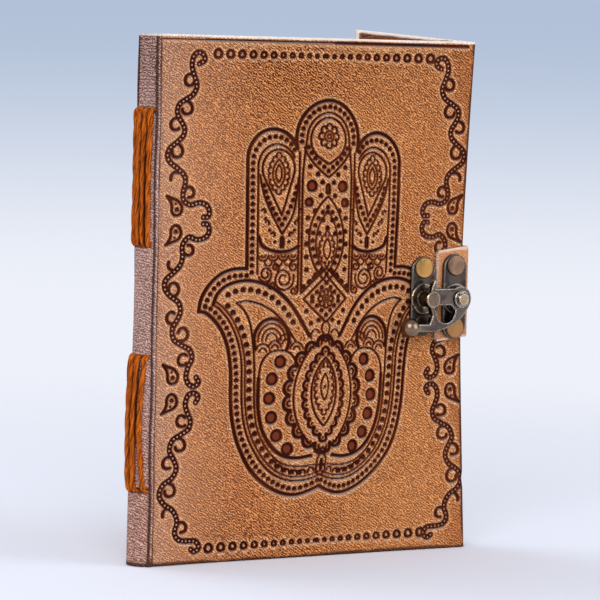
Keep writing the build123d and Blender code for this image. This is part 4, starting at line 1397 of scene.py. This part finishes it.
for n, (line, length) in enumerate(lines):
    others = np.concatenate([other_line for k, (other_line, _) in enumerate(lines) if k != n])
    tree = KDTree(len(others))
    for k, place in enumerate(others):
        tree.insert(place, k)
    tree.balance()
    along = np.gradient(line, axis=0)
    along /= np.linalg.norm(along, axis=1, keepdims=True)
    across = np.array([0.0, 1.0, 0.0])
    other = np.cross(along, across)
    bm = bmesh.new()
    for ply in range(PLIES):
        twist = tau * (np.linspace(0, length / LAY, len(line)) + ply / PLIES + n * LAY_SHIFT)
        ply_line = line + PLY_OFFSET * (np.cos(twist)[:, None] * across + np.sin(twist)[:, None] * other)
        bm.from_mesh(curve_mesh(ply_line, bevel=PLY_R))
    apart = [tree.find(vert.co)[2] for vert in bm.verts]
    cord = make_piece(f"cord_{n + 1}_plies", bm, cord_finish, "sewing_cord", apart=apart)
    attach(cord, "spine")
    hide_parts(f"sewing_cord_{n + 1}")
    print("cord", n + 1, "length", round(length, 1), "mm")

# %% [markdown]
# ## Strap
# The lock's strap is a thick strip of lighter leather, riveted to the back cover and folded round the fore
# edge. It folds at two places, and it is made as two pieces that meet in the middle of the side.

# %% Strap
anchor_low = node_box("tab_anchor")[0]
side_low, side_high = node_box("tab_side")
panel_low = node_box("tab_front")[0]
back_fold, front_fold = joint_place("tab_side_fold"), joint_place("tab_front_fold")
STRAP_T = side_high.x - side_low.x
BEND_R = 1.7
BEND_REACH = 1.6
STRAP_CLIMB = 1.5
STRAP_EDGE_R, STRAP_RIM = 0.3, 0.1
# What counts as a sharp edge, as the seam of the two halves, and as a cut face or the free end
SHARP_BEND, SEAM_REACH, CUT_TILT, END_REACH = 1, 0.05, 0.4, 0.4
STRAP_ROWS, BEND_COLUMNS, FLAT_COLUMNS = 16, 10, 10


def strap_climb(x, fold, far_x, side):
    """How much higher the skewed strap lies at a place; it climbs on its flat parts only."""
    share = ((x - far_x) / (fold.x - BEND_R - far_x)).clip(0, 1)
    return STRAP_CLIMB * (share / 2 if side > 0 else share - 0.5)


def strap_half(fold, far_x, side):
    """Half of the strap: from its free end, round one fold, to its middle. Side is 1 at the back."""
    middle_y = (back_fold.y + front_fold.y) / 2
    columns = 2 * FLAT_COLUMNS + BEND_COLUMNS
    bm = bmesh.new()
    bmesh.ops.create_grid(bm, x_segments=columns, y_segments=STRAP_ROWS, size=1)
    grid = places(bm)
    column, row = (grid[:, 0] + 1) / 2 * columns, (grid[:, 1] + 1) / 2
    flat = np.interp(column, [0, FLAT_COLUMNS], [fold.x - BEND_R - far_x, 0])
    into = np.interp(column, [FLAT_COLUMNS, FLAT_COLUMNS + BEND_COLUMNS], [0, pi / 2])
    down = np.interp(column, [FLAT_COLUMNS + BEND_COLUMNS, columns], [0, abs(fold.y - middle_y) - BEND_R])
    skin_r = BEND_R + STRAP_T / 2
    x = fold.x - BEND_R - flat + skin_r * np.sin(into)
    y = fold.y + side * (skin_r * np.cos(into) - BEND_R - down)
    z = side_low.z + (side_high.z - side_low.z) * row + strap_climb(x, fold, far_x, side)
    move(bm, np.column_stack([x, y, z]))
    bm.normal_update()
    if bm.faces[:][0].normal.y * side < 0:
        bmesh.ops.reverse_faces(bm, faces=bm.faces)
    bmesh.ops.solidify(bm, geom=bm.faces[:], thickness=STRAP_T)
    bm.normal_update()
    sharp = [
        edge for edge in bm.edges
        if edge.calc_face_angle(0) > SHARP_BEND
        and max(abs(vert.co.y - middle_y) for vert in edge.verts) > SEAM_REACH
    ]
    bmesh.ops.bevel(
        bm, geom=sharp, offset=STRAP_EDGE_R, offset_type="OFFSET", segments=2, profile=0.5, affect="EDGES",
        material=-1,
    )
    bm.normal_update()
    for face in bm.faces:
        free_end = face.normal.x < -CUT_TILT and face.calc_center_median().x < far_x + END_REACH
        face.material_index = int(abs(face.normal.z) > CUT_TILT or free_end)
    return bm


halves = (
    (back_fold, anchor_low.x, 1, "strap_back", ("back_cover", "tab_side"), ("tab_anchor", "tab_side")),
    (front_fold, panel_low.x, -1, "strap_front", ("tab_front", "tab_side"), ("tab_front",)),
)
for fold, far_x, side, name, bodies, nodes in halves:
    bm = strap_half(fold, far_x, side)
    where = places(bm)
    climb = strap_climb(where[:, 0], fold, far_x, side)
    rim = np.minimum(where[:, 2] - climb - side_low.z, side_high.z + climb - where[:, 2]) + STRAP_RIM
    piece = make_piece(name, bm, (strap_finish, cut_finish), "strap_leather", rim=rim)
    start = Vector((fold.x - BEND_REACH, fold.y, MID_Z)) * MM
    end = Vector((fold.x, fold.y - side * BEND_REACH, MID_Z)) * MM
    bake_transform(piece)
    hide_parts(*nodes)

# %% [markdown]
# ## Lock metal
# The lock is cast metal with an antique bronze plating: nearly black in the hollows and rubbed bright on
# the edges. The Bevel node rounds the normal near an edge, so comparing it with the true normal finds the
# edges.

# %% Metal finishes
TARNISH, WORN = srgb(26, 22, 21), srgb(136, 113, 92)
METAL_RELIEF = 0.00004
# Widths of the soft edges of a worn spot and of a lower tone
SPOT_EDGE, LOWER_EDGE = 0.0006, 0.001


def metal_finish(name, body_colour, edge_colour, rough, edge_width, tarnish, worn_spot=None, lower=None):
    """Plated metal, bright along its edges and at a worn spot; lower is its tone further down."""
    finish, wire, place = new_finish(name)
    rounded = wire.node("ShaderNodeBevel", {"samples": 6}, {"Radius": edge_width})
    true = wire.node("ShaderNodeNewGeometry", output="Normal")
    facing = rounded.measure("DOT_PRODUCT", true)
    patina = noise(place, 260, 4.0, 0.5)
    scratch = noise(stretched(place, (0.5, 0.3, 0.2), (1.0, 1.0, 9.0)), 700, 2.0)
    edge = (facing + (patina - 0.5) * 0.04).ramp(0.992, 0.92)
    colour = (patina.ramp(0.35, 0.75) * tarnish).blend(body_colour, TARNISH)
    roughness = patina.ramp(0.3, 0.7, rough - 0.06, rough + 0.1) - edge * 0.08
    if lower:
        low_colour, split = lower
        colour = place.part("Z").ramp(split + LOWER_EDGE, split - LOWER_EDGE).blend(colour, low_colour)
    if worn_spot:
        centre, reach = worn_spot
        spot = place.measure("DISTANCE", centre).ramp(reach + SPOT_EDGE, reach)
        colour = spot.blend(colour, WORN)
        roughness = roughness - spot * 0.1
    colour = (edge * 0.85).blend(colour, edge_colour)
    surface(wire, colour, roughness, patina + scratch * 0.4, METAL_RELIEF, metallic=1.0)
    return finish


def in_node(node, x, y, z):
    """A place in mm, as the own coordinates of a CAD node give it."""
    return frame["nodes"][node].matrix_world.inverted() @ (Vector((x, y, z)) * MM)


print("metal tools ready")

# %% [markdown]
# Fingers have rubbed the knob of the hook and the end of the pivot pin. On both pairs of rivets the lower
# one has another tone than the upper one, so the tone changes at the height of the pivot. On the catch
# rivets that darker lower tone is painted shade, for the shadow under the hook's arm.

# %% Metal on the lock
BALL_R, BALL_DROP, BALL_SHARE = 3.5, 9.8, 1.05
PIN_SPOT = 1.6
hook_low, hook_high = node_box("swing_hook")
pin_low, pin_high = node_box("pivot_pin")
lock_z = joint_place("hook_swing").z
ball = in_node("swing_hook", hook_low.x + BALL_R, (hook_low.y + hook_high.y) / 2, lock_z - BALL_DROP)
pin_end = in_node("pivot_pin", (pin_low.x + pin_high.x) / 2, pin_low.y, (pin_low.z + pin_high.z) / 2)
catch_split = in_node("catch_rivets", 0, 0, lock_z).z
tab_split = in_node("tab_rivets", 0, 0, lock_z).z
bronze_finish = metal_finish(
    "antique_bronze", srgb(82, 71, 66), srgb(226, 212, 190), 0.26, 0.0008, 0.7,
    worn_spot=(ball, BALL_R * BALL_SHARE * MM),
)
plate_finish = metal_finish("dark_bronze", srgb(64, 56, 52), srgb(206, 194, 174), 0.3, 0.0008, 0.8)
worn_finish = metal_finish("worn_bronze", srgb(98, 82, 69), srgb(226, 206, 172), 0.28, 0.0006, 0.6)
pin_finish = metal_finish(
    "pivot_bronze", srgb(60, 56, 55), srgb(226, 212, 190), 0.26, 0.0006, 0.6,
    worn_spot=(pin_end, PIN_SPOT * MM),
)
# The catch rivets' dark lower tone is painted shade, for the shadow under the hook's arm
brass_finish = metal_finish(
    "rivet_brass", srgb(158, 118, 66), srgb(214, 180, 120), 0.4, 0.0005, 0.35,
    lower=(srgb(66, 54, 44), catch_split),
)
dull_finish = metal_finish(
    "rivet_dull_brass", srgb(122, 94, 76), srgb(196, 160, 124), 0.4, 0.0005, 0.35,
    lower=(srgb(142, 100, 62), tab_split),
)
anchor_finish = metal_finish("anchor_brass", srgb(150, 112, 66), srgb(206, 172, 118), 0.4, 0.0005, 0.35)
METAL = {
    bronze_finish: ["swing_hook"],
    plate_finish: ["catch_plate", "tab_plate", "pivot_collar", "pivot_spacer"],
    worn_finish: ["catch_post"],
    pin_finish: ["pivot_pin"],
    brass_finish: ["catch_rivets", "catch_rivet_washers"],
    anchor_finish: ["anchor_rivets", "anchor_rivet_washers"],
    dull_finish: ["tab_rivets", "tab_rivet_washers"],
}
for finish, names in METAL.items():
    for name in names:
        slots = frame["nodes"][name].data.materials
        slots.clear()
        slots.append(finish)
print("metal nodes finished:", sum(len(names) for names in METAL.values()))
